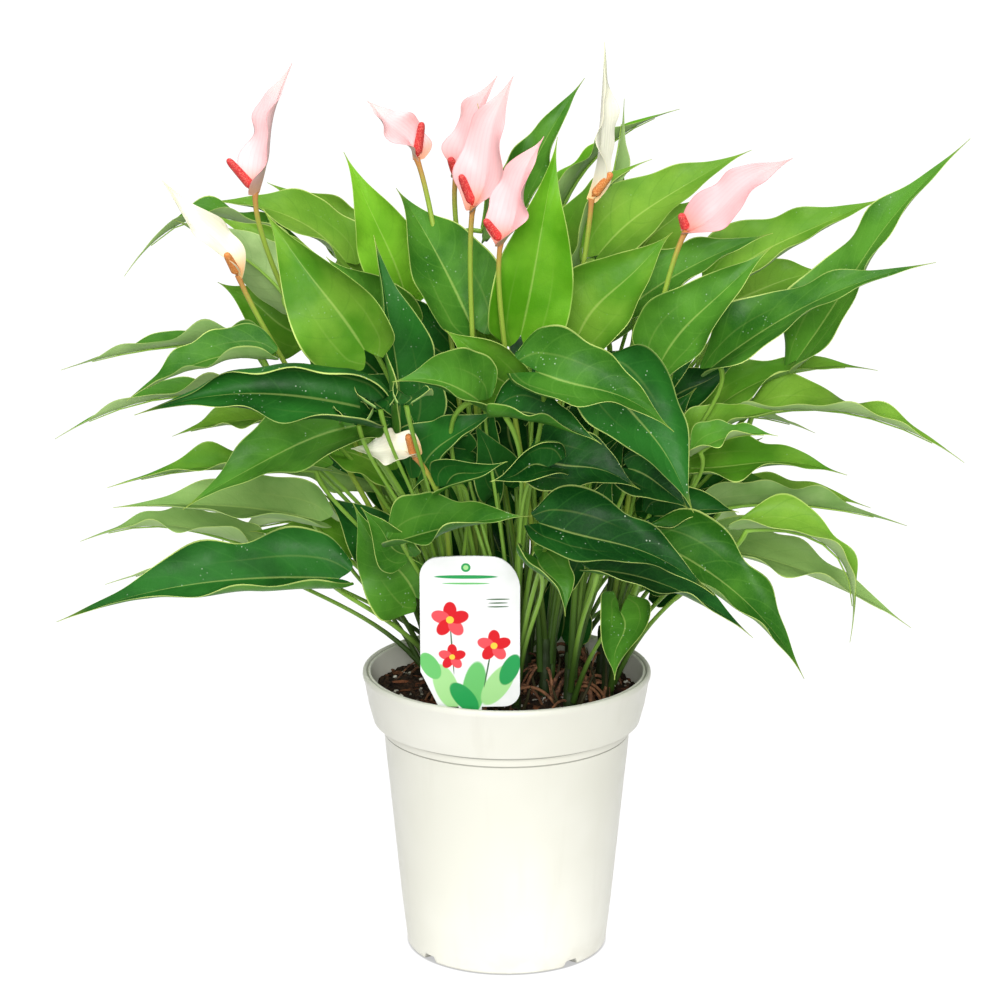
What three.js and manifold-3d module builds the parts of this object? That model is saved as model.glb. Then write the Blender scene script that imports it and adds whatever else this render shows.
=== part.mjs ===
// A potted anthurium: an ivory plastic pot filled with soil, twelve leafy shoots with heart-shaped
// leaves, pink and cream blooms, a few aerial roots and a plain plant label.
// Millimetres, +Z up. The origin is the centre of the pot's underside, and the front looks along -Y.

import * as THREE from "three";
import { mergeVertices } from "three/addons/utils/BufferGeometryUtils.js";
import Module from "manifold-3d";

const wasm = await Module();
wasm.setup();

// Driving dimensions

const POT_HEIGHT = 150;
const RIM_RADIUS = 75;
const BASE_RADIUS = 52.5;
const COLLAR_FOOT = 123;
const COLLAR_FOOT_RADIUS = 69.5;
const BODY_TOP_RADIUS = 64.8;
const SECOND_GROOVE = 117;
const WALL = 2.2;
const FLOOR = 5;
const NOTCHES = 4;
const NOTCH = { width: 8, height: 3.6, depth: 7, turn: 40 };

const SOIL_TOP = 138;
const SOIL_BUMP = 1.6;
const FIT = 0.3;

const LEAF_THICKNESS = 0.8;
const SPATHE_THICKNESS = 1;
const PETIOLE_RADIUS = 1.3;
const PEDUNCLE_RADIUS = 1.5;
const SHOOT_RADIUS = 5.5;
const SHOOT_DEPTH = 14;
const SHOOT_RISE = 30;

const LABEL = { width: 50, head: 76, spike: 11, depth: 44, thickness: 0.9, lean: 5 };
const LABEL_CUTS = {
  point: 6, pointShare: 0.6, neck: 4, footDrop: 3, footRound: 8, topRight: [14, 16], topArch: 3,
  topLeft: [8, 9], chamfer: [9, 16],
};
const LABEL_PLACE = [-18.5, -57, 150];

// Colours

const COLOURS = {
  pot: 0xf0eee4,
  soil: 0x38281c,
  root: 0x7a4a2a,
  label: 0xf4f4f0,
  leaf: 0x2f7a2c,
  pink: 0xf6bdb8,
  cream: 0xfbf8dc,
  spadix: 0xee6253,
  spadixOrange: 0xf2a65a,
};

// Every shoot: its foot on the soil, its leaves, and the blooms whose stalks it carries.
// A leaf is [base of the blade, tip, way the upper face looks, width, arch of the midrib,
// fold along the midrib, curl of the left margin, curl of the right margin, height of its waves],
// and those with long lobes end in the name of that form of outline.
// Lengths are millimetres and angles degrees, and left is seen from the base with the face up.

const SHOOTS = {
  front_left: {
    foot: [-26, -22],
    leaves: [
      [[-70, -58, 331], [-119, -52, 400], [-1, -9, 3], 52, 6, 12, 10, 60, 3],
      [[-65, -90, 308], [-180, -92, 306], [0, -5, 8], 62, 13, 8, 20, 170, 4],
      [[-68, -80, 299], [-157, -100, 261], [-1, -6, 7], 50, 8, 12, 30, 20, 3],
      [[-54, -78, 239], [12, -97, 257], [0, -4, 8], 40, 3, 14, 60, 40, 4],
      [[-84, -60, 215], [-225, -62, 193], [0, -5, 8], 50, 12, 16, 20, 20, 4],
      [[-46, -42, 200], [-77, -46, 250], [-3, -8, 3], 45, 5, 14, 25, 25, 3],
      [[-50, -66, 229], [-72, -72, 255], [-4, -8, 4], 24, 3, 14, 40, 20, 2],
      [[-30, -78, 267], [0, -84, 281], [0, -8, 4], 27, 4, 30, 50, 60, 2],
    ],
    blooms: ["left_low"],
  },
  left: {
    foot: [-38, 4],
    leaves: [
      [[-118, -50, 326], [-188, -52, 304], [-1, -3, 8], 36, 8, 12, 20, 30, 3],
      [[-116, 0, 292], [-231, 0, 272], [0, 1, 8], 32, 12, 16, 20, 20, 3],
      [[-111, 10, 277], [-172, 10, 271], [-1, -2, 8], 36, 5, 12, 20, 20, 2],
      [[-93, -30, 264], [-201, -34, 255], [0, -1, 7], 38, 6, 14, 20, 20, 3],
      [[-95, -20, 234], [-200, -20, 241], [0, -4, 8], 42, 6, 14, 30, 20, 3],
      [[-131, 10, 213], [-221, 10, 215], [0, -1, 8], 36, 10, 12, 30, 20, 3],
      [[-81, 4, 208], [-133, 8, 221], [0, -4, 8], 34, 5, 12, 20, 20, 2],
      [[-62, -10, 258], [-104, -8, 271], [0, -5, 7], 40, 5, 12, 20, 20, 2],
    ],
    blooms: ["left_high", "left_cream"],
  },
  left_back: {
    foot: [-25, 31],
    leaves: [
      [[-108, 60, 349], [-200, 60, 345], [0, 0, 1], 35, 30, 14, 20, 20, 3],
      [[-111, 20, 340], [-170, 20, 382], [-5, 6, 6], 36, 10, 14, 20, 20, 3],
      [[-101, 46, 343], [-153, 48, 380], [-3, -4, 6], 27, 8, 12, 20, 20, 2],
      [[-128, 30, 316], [-231, 32, 301], [0, 1, 8], 30, 5, 14, 20, 20, 3],
      [[-108, 64, 313], [-152, 70, 340], [-2, -7, 4], 36, 6, 12, 20, 20, 2],
      [[-62, 36, 241], [-132, 40, 243], [0, -5, 7], 38, 6, 12, 20, 20, 3],
      [[-109, 40, 201], [-213, 44, 182], [0, 1, 8], 30, 4, 12, 20, 20, 3],
    ],
    blooms: [],
  },
  back_left: {
    foot: [-3, 46],
    leaves: [
      [[-85, 80, 349], [-158, 85, 380], [0, -3, 8], 45, 12, 12, 20, 20, 3],
      [[-71, 100, 344], [-128, 112, 386], [-2, -4, 6], 36, 8, 12, 20, 20, 2],
      [[-74, 60, 206], [-158, 104, 188], [-1, 3, 8], 46, 10, 12, 20, 20, 3],
      [[-60, 76, 262], [-140, 124, 252], [-1, 2, 8], 46, 10, 12, 20, 20, 3],
      [[-38, 88, 232], [-78, 176, 214], [-1, 3, 8], 48, 12, 12, 20, 20, 3],
      [[-30, 84, 290], [-64, 168, 292], [-1, 2, 8], 48, 12, 12, 20, 20, 3],
      [[-30, 86, 330], [-64, 156, 342], [-1, 2, 7], 42, 10, 12, 20, 20, 3],
      [[8, 92, 205], [10, 186, 184], [0, 3, 8], 46, 12, 12, 20, 20, 3],
    ],
    blooms: [],
  },
  back_right: {
    foot: [34, 43],
    leaves: [
      [[72, 104, 350], [102, 110, 378], [0, -7, 5], 36, 4, 12, 20, 20, 2],
      [[118, 66, 330], [170, 74, 345], [0, -6, 6], 40, 5, 12, 20, 20, 2],
      [[110, 38, 226], [192, 44, 224], [0, -2, 8], 34, 8, 12, 20, 20, 3],
      [[66, 62, 205], [146, 118, 186], [1, 3, 8], 46, 10, 12, 20, 20, 3],
      [[42, 86, 240], [92, 166, 226], [1, 3, 8], 48, 12, 12, 20, 20, 3],
      [[76, 54, 262], [166, 88, 254], [1, 2, 8], 44, 10, 12, 20, 20, 3],
      [[22, 86, 284], [38, 178, 280], [0, 2, 8], 50, 12, 12, 20, 20, 3],
      [[52, 84, 306], [106, 140, 314], [2, 1, 7], 44, 10, 12, 20, 20, 3],
    ],
    blooms: [],
  },
  right: {
    foot: [50, 14],
    leaves: [
      [[108, 42, 340], [197, 46, 389], [-3, -5, 7], 44, 8, 12, 20, 20, 3],
      [[148, 10, 311], [233, 10, 425], [-6, -5, 5], 42, 8, 14, 20, 20, 4],
      [[99, 20, 275], [191, 22, 303], [-2, -2, 8], 36, 14, 12, 20, 20, 3],
      [[121, 0, 284], [234, -2, 260], [0, -1, 8], 36, 14, 14, 20, 20, 4],
      [[94, 14, 240], [136, 16, 246], [0, -5, 7], 36, 4, 12, 20, 20, 2],
      [[99, -2, 234], [206, 0, 226], [0, 5, 7], 36, 8, 12, 20, 20, 3],
      [[102, -4, 216], [209, -6, 173], [2, -2, 8], 40, 8, 12, 20, 20, 3],
    ],
    blooms: [],
  },
  right_front: {
    foot: [52, -13],
    leaves: [
      [[77, -30, 319], [131, -34, 378], [-2, -7, 5], 46, 6, 14, 20, 20, 3],
      [[102, -30, 316], [212, -34, 370], [-2, -4, 8], 38, 10, 12, 20, 20, 3],
      [[92, -18, 275], [139, -22, 292], [0, -3, 8], 30, 4, 12, 20, 20, 2],
      [[94, -52, 278], [134, -56, 287], [0, -2, 8], 24, 5, 12, 40, 30, 3],
      [[93, -22, 262], [172, -24, 259], [0, -3, 8], 38, 6, 12, 20, 20, 3],
      [[74, -44, 243], [116, -48, 246], [0, -7, 6], 38, 4, 24, 50, 50, 2],
      [[116, -46, 237], [173, -48, 178], [7, -1, 7], 34, 27, 14, 20, 20, 3],
      [[71, -64, 236], [148, -74, 167], [4, -6, 6], 46, 14, 12, 20, 20, 3],
    ],
    blooms: ["right_pink"],
  },
  front_right: {
    foot: [32, -33],
    leaves: [
      [[48, -72, 322], [90, -102, 260], [3, -8, 3], 56, 8, 14, 20, 20, 4],
      [[60, -58, 271], [90, -66, 252], [0, -6, 6], 36, 4, 12, 20, 20, 2],
      [[41, -108, 233], [119, -112, 200], [1, -2, 8], 42, 8, 12, 20, 20, 3],
      [[56, -76, 202], [53, -88, 171], [0, -8, 3], 34, 4, 14, 50, 50, 2, "heart"],
    ],
    blooms: [],
  },
  front: {
    foot: [4, -36],
    leaves: [
      [[15, -118, 333], [79, -122, 305], [1, -6, 7], 48, 8, 12, 60, 20, 3, "heart"],
      [[-3, -96, 307], [45, -114, 297], [1, -5, 7], 36, 6, 12, 60, 60, 3],
      [[16, -70, 280], [65, -80, 266], [0, -7, 6], 42, 6, 12, 20, 20, 2],
      [[16, -118, 259], [99, -128, 226], [2, -6, 7], 44, 10, 14, 20, 20, 4],
      [[15, -100, 236], [28, -116, 212], [4, -6, 5], 32, 6, 14, 30, 30, 2, "heart"],
      [[19, -100, 282], [-8, -104, 276], [0, -7, 4], 34, 3, 30, 40, 40, 2, "heart"],
    ],
    blooms: [],
  },
  centre_left: {
    foot: [-10, -6],
    leaves: [
      [[-59, 30, 322], [-93, 35, 360], [0, -8, 4], 45, 6, 12, 20, 60, 2],
      [[-53, 50, 338], [-84, 50, 412], [2, -8, 1], 44, 5, 20, 20, 20, 3],
      [[-18, 0, 331], [-57, 45, 394], [2, -8, 5], 54, 6, 16, 20, 20, 3],
      [[-54, -30, 286], [-66, -30, 383], [5, -7, 1], 46, 4, 30, 20, 20, 3],
      [[-14, -60, 306], [-56, -72, 318], [-2, -6, 7], 45, 8, 14, 50, 40, 2],
      [[-44, -38, 262], [-3, -42, 297], [-4, -7, 6], 38, 8, 12, 20, 50, 4],
      [[-1, -32, 309], [-31, -38, 337], [-1, -8, 4], 36, 5, 12, 20, 20, 2],
    ],
    blooms: ["middle_left", "middle_large"],
  },
  centre_right: {
    foot: [20, -8],
    leaves: [
      [[7, -14, 329], [25, -12, 429], [1, -9, 2], 46, 5, 16, 20, 20, 4],
      [[36, 8, 323], [84, 12, 377], [-2, -8, 4], 56, 6, 12, 20, 20, 3],
      [[60, 22, 334], [136, 26, 374], [-2, -5, 7], 42, 6, 12, 20, 20, 3],
    ],
    blooms: ["middle_right"],
  },
  centre_back: {
    foot: [10, 19],
    leaves: [
      [[-11, 60, 312], [-20, 66, 366], [2, -8, 2], 40, 4, 14, 20, 20, 2],
      [[4, 90, 376], [41, 96, 444], [-3, -7, 3], 28, 6, 12, 20, 20, 3],
      [[28, 98, 374], [92, 108, 426], [-3, 1, 6], 32, 10, 12, 20, 20, 3],
      [[44, 92, 352], [62, 98, 433], [8, 1, 0], 30, 4, 14, 20, 20, 3],
      [[38, 48, 352], [75, 52, 408], [-6, -3, 5], 36, 15, 12, 20, 20, 3],
      [[48, 72, 354], [128, 76, 409], [-3, -6, 6], 46, 8, 12, 20, 20, 3],
      [[-12, 29, 372], [-15, 29, 440], [8, -2, 0], 24, 4, 12, 20, 20, 2],
    ],
    blooms: ["middle_back", "tall_cream"],
  },
};

// Every bloom: the top of its stalk, the tip of its spathe, the way the spathe's inner face looks,
// width, arch, fold and curl of the spathe, the tip of its spadix, and the two colours.

const BLOOMS = {
  left_high: {
    seat: [-124, -30, 405], tip: [-105, -30, 468], face: [-8, -5, 2], width: 26, arch: 3,
    fold: 18, curl: 30, spadix: [-137, -37, 422], colour: "pink", spadixColour: "spadix",
  },
  left_cream: {
    seat: [-135, -10, 359], tip: [-172, -10, 407], face: [3, -7, 3], width: 22, arch: 3,
    fold: 24, curl: 40, spadix: [-140, -20, 372], colour: "cream", spadixColour: "spadixOrange",
  },
  middle_left: {
    seat: [-46, 30, 412], tip: [-71, 32, 441], face: [6, -6, 3], width: 24, arch: 3,
    fold: 16, curl: 20, spadix: [-43, 26, 431], colour: "pink", spadixColour: "spadix",
  },
  middle_back: {
    seat: [-26, 42, 402], tip: [-5, 44, 452], face: [-6, -6, 2], width: 24, arch: 3,
    fold: 18, curl: 20, spadix: [-29, 36, 411], colour: "pink", spadixColour: "spadix",
  },
  middle_large: {
    seat: [-17, -10, 394], tip: [3, -10, 459], face: [-5, -8, 2], width: 30, arch: 4,
    fold: 16, curl: 20, spadix: [-23, -17, 411], colour: "pink", spadixColour: "spadix",
  },
  middle_right: {
    seat: [-3, -36, 381], tip: [18, -36, 433], face: [-6, -7, 3], width: 28, arch: 3,
    fold: 18, curl: 30, spadix: [-11, -43, 393], colour: "pink", spadixColour: "spadix",
  },
  tall_cream: {
    seat: [43, 20, 393], tip: [49, 22, 472], face: [8, -4, 1], width: 20, arch: 3,
    fold: 20, curl: 20, spadix: [53, 14, 407], colour: "cream", spadixColour: "spadixOrange",
  },
  right_pink: {
    seat: [89, -22, 384], tip: [141, -22, 420], face: [-3, -7, 5], width: 26, arch: 4,
    fold: 14, curl: 20, spadix: [86, -27, 393], colour: "pink", spadixColour: "spadix",
  },
  left_low: {
    seat: [-45, -78, 282], tip: [-76, -82, 287], face: [0, -6, 7], width: 22, arch: 2,
    fold: 16, curl: 20, spadix: [-48, -91, 296], colour: "cream", spadixColour: "spadix",
  },
};

// Small helpers

const WELD = 1e-4;
const radians = (degrees) => (degrees * Math.PI) / 180;
const point = ([x, y, z]) => new THREE.Vector3(x, y, z);
const mix = (a, b, share) => a.clone().lerp(b, share);

function merged(geometry) {
  const bare = geometry.clone();
  bare.deleteAttribute("normal");
  bare.deleteAttribute("uv");
  return mergeVertices(bare, WELD);
}

function solid(geometry) {
  const shared = merged(geometry);
  return new wasm.Manifold(new wasm.Mesh({
    numProp: 3,
    vertProperties: new Float32Array(shared.attributes.position.array),
    triVerts: new Uint32Array(shared.index.array),
  }));
}

function geometryOf(body) {
  const mesh = body.getMesh();
  const geometry = new THREE.BufferGeometry();
  geometry.setAttribute("position", new THREE.BufferAttribute(mesh.vertProperties, 3));
  geometry.setIndex(new THREE.BufferAttribute(mesh.triVerts, 1));
  return geometry;
}

function joined(solids) {
  return solids.reduce((sum, next) => sum.add(next));
}

const materials = {};
for (const [name, colour] of Object.entries(COLOURS)) {
  materials[name] = new THREE.MeshStandardMaterial({ color: colour, roughness: 0.5, metalness: 0 });
}

const plant = new THREE.Group();

function addPiece(name, geometry, material) {
  geometry.computeVertexNormals();
  const mesh = new THREE.Mesh(geometry, material);
  mesh.name = name;
  plant.add(mesh);
  return mesh;
}

// Blades. Along the midrib t runs from 0 at the base to 1 at the tip, and across the blade v runs
// from -1 at the left margin to 1 at the right one.

// The outlines: a plain leaf, one with long lobes, and the narrower spathe of a bloom.
const FORMS = {
  leaf: { base: 0.5, swell: 3.3, taper: 2, lobe: 0.14 },
  heart: { base: 0.66, swell: 3.6, taper: 2.2, lobe: 0.28 },
  spathe: { base: 0.2, swell: 2.2, taper: 1.6, lobe: 0.05 },
};
const LOBE_TURN = 2.1;
const WAVES = 2;
const LONG_BLADE = 92;
const LONG_ROWS = [0, 0.15, 0.35, 0.57, 0.8];
const MIDDLE_BLADE = 60;
const MIDDLE_ROWS = [0, 0.2, 0.45, 0.72];
const SHORT_ROWS = [0, 0.25, 0.6];
const COLUMNS = [-1, -0.5, 0, 0.5, 1];

// The share of the full width at t: (base + swell t)(1 - t)^taper over its own peak.
function outline({ base, swell, taper }, t) {
  const raw = (at) => (base + swell * at) * (1 - at) ** taper;
  const peak = (swell - taper * base) / (swell * (taper + 1));
  return raw(t) / raw(peak);
}

function bladeFrame(blade, t) {
  const base = point(blade.base);
  const tip = point(blade.tip);
  const chord = tip.clone().sub(base).normalize();
  const face = point(blade.face);
  face.addScaledVector(chord, -face.dot(chord)).normalize();
  const bend = mix(base, tip, 0.5).addScaledVector(face, 2 * blade.arch);
  const centre = mix(mix(base, bend, t), mix(bend, tip, t), t);
  const along = mix(bend.clone().sub(base), tip.clone().sub(bend), t).normalize();
  const side = along.clone().cross(face).normalize();
  const up = side.clone().cross(along);
  return { centre, along, side, up };
}

// A point of the blade: the half blade turns up by its fold, and by its curl more towards the margin,
// the lobes beside the stalk reach back, and the margin waves. `lift` is the height over mid-thickness.
function bladePoint(blade, t, v, lift) {
  const { centre, along, side, up } = bladeFrame(blade, t);
  const hand = Math.sign(v);
  const share = Math.abs(v);
  const form = FORMS[blade.form];
  const half = (blade.width / 2) * outline(form, t);
  const fold = radians(blade.fold);
  const curl = radians(hand < 0 ? blade.curlLeft : blade.curlRight);
  const turn = fold + curl * share;
  const out = (half * (Math.sin(turn) - Math.sin(fold))) / curl;
  const rise = (half * (Math.cos(fold) - Math.cos(turn))) / curl;
  const back = form.lobe * blade.width * Math.sin(LOBE_TURN * share) * (1 - t) ** 3;
  const wave = blade.wave * share ** 2 * outline(form, t) * Math.sin(2 * Math.PI * WAVES * t + hand);
  return centre
    .addScaledVector(along, -back)
    .addScaledVector(side, hand * out - hand * lift * Math.sin(turn))
    .addScaledVector(up, rise + wave + lift * Math.cos(turn));
}

function bladeRows(blade) {
  const length = point(blade.base).distanceTo(point(blade.tip));
  if (length > LONG_BLADE) {
    return LONG_ROWS;
  }
  return length > MIDDLE_BLADE ? MIDDLE_ROWS : SHORT_ROWS;
}

// The closed blade: the same triangles on both faces, joined by a wall round the margin.
function bladeGeometry(blade, thickness) {
  const rows = bladeRows(blade);
  const across = COLUMNS.length;
  const positions = [];
  for (const lift of [thickness / 2, -thickness / 2]) {
    for (const t of rows) {
      for (const v of COLUMNS) {
        positions.push(...bladePoint(blade, t, v, lift));
      }
    }
    positions.push(...bladePoint(blade, 1, 0, lift));
  }
  const perFace = rows.length * across + 1;
  const tip = perFace - 1;
  const at = (row, column) => row * across + column;
  const faces = [];
  for (let row = 0; row < rows.length - 1; row += 1) {
    for (let column = 0; column < across - 1; column += 1) {
      const corners = [at(row, column), at(row, column + 1), at(row + 1, column + 1), at(row + 1, column)];
      const first = column < (across - 1) / 2 ? 1 : 0;
      const [a, b, c, d] = [0, 1, 2, 3].map((step) => corners[(first + step) % 4]);
      faces.push([a, b, c], [a, c, d]);
    }
  }
  const last = rows.length - 1;
  for (let column = 0; column < across - 1; column += 1) {
    faces.push([at(last, column), at(last, column + 1), tip]);
  }
  const edge = [];
  for (let column = 0; column < across; column += 1) {
    edge.push(at(0, column));
  }
  for (let row = 1; row <= last; row += 1) {
    edge.push(at(row, across - 1));
  }
  edge.push(tip);
  for (let row = last; row >= 1; row -= 1) {
    edge.push(at(row, 0));
  }
  const index = [];
  for (const [a, b, c] of faces) {
    index.push(a, b, c, a + perFace, c + perFace, b + perFace);
  }
  for (let step = 0; step < edge.length; step += 1) {
    const a = edge[step];
    const b = edge[(step + 1) % edge.length];
    index.push(a + perFace, b + perFace, b, a + perFace, b, a);
  }
  const geometry = new THREE.BufferGeometry();
  geometry.setAttribute("position", new THREE.Float32BufferAttribute(positions, 3));
  geometry.setIndex(index);
  return geometry;
}

function leafBlade([base, tip, face, width, arch, fold, curlLeft, curlRight, wave, form = "leaf"]) {
  return { base, tip, face, width, arch, fold, curlLeft, curlRight, wave, form };
}

// The cross directions of a path at each share of its way, carried along without a twist.
function carriedFrames(path, shares) {
  const first = path.getTangent(0);
  let normal = new THREE.Vector3(1, 0, 0).addScaledVector(first, -first.x).normalize();
  return shares.map((share) => {
    const tangent = path.getTangent(share);
    normal = normal.clone().addScaledVector(tangent, -normal.dot(tangent)).normalize();
    return { normal, binormal: tangent.clone().cross(normal) };
  });
}

// Stalks: a slim rod bent along a smooth curve. `reaches` gives the radius at each share of its way,
// and a radius of 0 at the end closes the rod in a point.
function rod(start, firstBend, secondBend, end, reaches, sides) {
  const path = new THREE.CubicBezierCurve3(start, firstBend, secondBend, end);
  const steps = reaches.length - 1;
  const rodShape = new THREE.CylinderGeometry(reaches[steps][1] > 0 ? 1 : 0, 1, 1, sides, steps);
  const frames = carriedFrames(path, reaches.map(([share]) => share));
  const place = rodShape.attributes.position;
  for (let k = 0; k < place.count; k += 1) {
    const step = Math.round((place.getY(k) + 0.5) * steps);
    const [share, radius] = reaches[step];
    const angle = Math.atan2(place.getZ(k), place.getX(k));
    const isRim = Math.hypot(place.getX(k), place.getZ(k)) > WELD;
    const spot = path.getPoint(share);
    if (isRim && radius > 0) {
      spot.addScaledVector(frames[step].normal, radius * Math.cos(angle));
      spot.addScaledVector(frames[step].binormal, -radius * Math.sin(angle));
    }
    place.setXYZ(k, spot.x, spot.y, spot.z);
  }
  return rodShape;
}

function evenReaches(radius, steps) {
  return Array.from({ length: steps + 1 }, (_, step) => [step / steps, radius]);
}

const PETIOLE = { rise: 0.6, reachLow: 0.35, reachHigh: 0.08, landing: 0.2, under: 0.22, sides: 3 };
const PETIOLE_REACHES = [0, 0.28, 0.56, 0.8, 0.985].map((share) => [share, PETIOLE_RADIUS]).concat([[1, 0]]);

const LANDING_SHARE = 0.15;
const LANDING_DEPTH = 0.4;

// A petiole climbs out of the shoot, leans over and meets the blade from below and behind.
function petioleBends(start, end, under, reach) {
  const run = end.clone().sub(start);
  const flat = new THREE.Vector3(run.x, run.y, 0);
  const first = start.clone().addScaledVector(flat, reach);
  first.z += PETIOLE.rise * run.z;
  const second = end.clone().addScaledVector(flat, -PETIOLE.landing);
  second.addScaledVector(under, -PETIOLE.under * run.length());
  return [first, second];
}

const PEDUNCLE = { sink: 3, rise: 0.4, reach: 0.3, landing: 34, sides: 3, steps: 4 };

// A peduncle climbs to the bloom and ends along the way that its bloom stands.
function peduncleBends(start, end, heading) {
  const run = end.clone().sub(start);
  const first = start.clone();
  first.x += PEDUNCLE.reach * run.x;
  first.y += PEDUNCLE.reach * run.y;
  first.z += PEDUNCLE.rise * run.z;
  const second = end.clone().addScaledVector(heading, -PEDUNCLE.landing);
  return [first, second];
}

// The way a bloom stands: between straight up and the direction of its spathe.
function bloomHeading(bloom) {
  const spathe = point(bloom.tip).sub(point(bloom.seat)).normalize();
  return spathe.add(new THREE.Vector3(0, 0, 1)).normalize();
}

function peduncle(foot, bloom, extra) {
  const start = new THREE.Vector3(foot[0], foot[1], SOIL_TOP + SHOOT_RISE - PEDUNCLE.sink);
  const heading = bloomHeading(bloom);
  const end = point(bloom.seat);
  const [first, second] = peduncleBends(start, end, heading);
  const longEnd = end.clone().addScaledVector(heading, extra);
  const reaches = evenReaches(PEDUNCLE_RADIUS + extra, PEDUNCLE.steps);
  return solid(rod(start, first, second, longEnd, reaches, PEDUNCLE.sides));
}

// Leafy shoots: a short stem in the soil with its petioles, blades and bloom stalks as one body

const STEM = { sides: 6, topRadius: 3, firstNode: 5, lastNode: 28, spreadLow: 4, spreadHigh: 1 };

function stemGeometry([x, y], extra) {
  const height = SHOOT_DEPTH + SHOOT_RISE + extra;
  const stem = new THREE.CylinderGeometry(STEM.topRadius + extra, SHOOT_RADIUS + extra, height, STEM.sides);
  stem.rotateX(Math.PI / 2);
  stem.translate(x, y, SOIL_TOP - SHOOT_DEPTH - extra + height / 2);
  return stem;
}

// The lowest leaf leaves the stem at its lowest node, and each higher one at the next node.
function leafSolids([x, y], blade, node) {
  const lift = LANDING_DEPTH * LEAF_THICKNESS;
  const landing = mix(bladePoint(blade, 0, 0, lift), bladePoint(blade, bladeRows(blade)[1], 0, lift), LANDING_SHARE);
  const { up } = bladeFrame(blade, 0);
  const bearing = Math.atan2(landing.y - y, landing.x - x);
  const spread = THREE.MathUtils.lerp(STEM.spreadLow, STEM.spreadHigh, node);
  const height = THREE.MathUtils.lerp(STEM.firstNode, STEM.lastNode, node);
  const start = new THREE.Vector3(x + spread * Math.cos(bearing), y + spread * Math.sin(bearing), SOIL_TOP + height);
  const reach = THREE.MathUtils.lerp(PETIOLE.reachLow, PETIOLE.reachHigh, node);
  const [first, second] = petioleBends(start, landing, up, reach);
  const petiole = rod(start, first, second, landing, PETIOLE_REACHES, PETIOLE.sides);
  return [solid(petiole), solid(bladeGeometry(blade, LEAF_THICKNESS))];
}

for (const [name, shoot] of Object.entries(SHOOTS)) {
  const parts = [solid(stemGeometry(shoot.foot, 0))];
  const blades = shoot.leaves.map(leafBlade).sort((a, b) => a.base[2] - b.base[2]);
  blades.forEach((blade, order) => parts.push(...leafSolids(shoot.foot, blade, order / blades.length)));
  for (const bloomName of shoot.blooms) {
    parts.push(peduncle(shoot.foot, BLOOMS[bloomName], 0));
  }
  addPiece(`shoot_${name}`, geometryOf(joined(parts)), materials.leaf);
}

// Blooms: the spathe clasps the top of the stalk, and the spadix stands on it

const SPADIX = { neck: 1.2, radius: 2.7, sides: 6 };
const SPADIX_PROFILE = [
  [0, 0],
  [SPADIX.neck, 0],
  [SPADIX.neck, 0.14],
  [SPADIX.radius, 0.3],
  [SPADIX.radius, 0.62],
  [SPADIX.radius * 0.75, 0.88],
  [0, 1],
];
const SPATHE_SETBACK = 2.4;
const SPATHE_WAVE = 1;

// The spadix stands on the end of the stalk and leans towards its own tip.
function spadixGeometry(bloom) {
  const heading = bloomHeading(bloom);
  const seat = point(bloom.seat);
  const tip = point(bloom.spadix);
  const lean = tip.clone().sub(seat).normalize();
  const foot = seat.clone().addScaledVector(heading, FIT + SPADIX.neck * Math.sin(heading.angleTo(lean)));
  const length = foot.distanceTo(tip);
  const profile = SPADIX_PROFILE.map(([r, share]) => new THREE.Vector2(r, share * length));
  const spadix = new THREE.LatheGeometry(profile, SPADIX.sides);
  const turn = new THREE.Quaternion().setFromUnitVectors(new THREE.Vector3(0, 1, 0), lean);
  spadix.applyQuaternion(turn);
  spadix.translate(foot.x, foot.y, foot.z);
  return spadix;
}

function spatheBlade(bloom) {
  const base = point(bloom.seat).addScaledVector(point(bloom.face).normalize(), -SPATHE_SETBACK);
  return {
    base: [base.x, base.y, base.z],
    tip: bloom.tip,
    face: bloom.face,
    width: bloom.width,
    arch: bloom.arch,
    fold: bloom.fold,
    curlLeft: bloom.curl,
    curlRight: bloom.curl,
    wave: SPATHE_WAVE,
    form: "spathe",
  };
}

for (const [name, bloom] of Object.entries(BLOOMS)) {
  const shoot = Object.values(SHOOTS).find((one) => one.blooms.includes(name));
  const spathe = solid(bladeGeometry(spatheBlade(bloom), SPATHE_THICKNESS))
    .subtract(peduncle(shoot.foot, bloom, FIT));
  addPiece(`spathe_${name}`, geometryOf(spathe), materials[bloom.colour]);
  addPiece(`spadix_${name}`, merged(spadixGeometry(bloom)), materials[bloom.spadixColour]);
}

// The pot: a turned shell with a collar, a lip with an inner ledge, and notches in its foot

const POT_SEGMENTS = 36;
const FOOT_ROUND = 1.2;
const GROOVE = { deep: 0.9, high: 0.6 };
const COLLAR_STEP = 0.8;
const LIP = { round: 0.5, top: 2, bead: 0.7, beadFoot: 4, beadHead: 2.6, inner: 3.8, ledge: 4.6, ledgeDrop: 9 };
const SHOULDER = 2;

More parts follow.
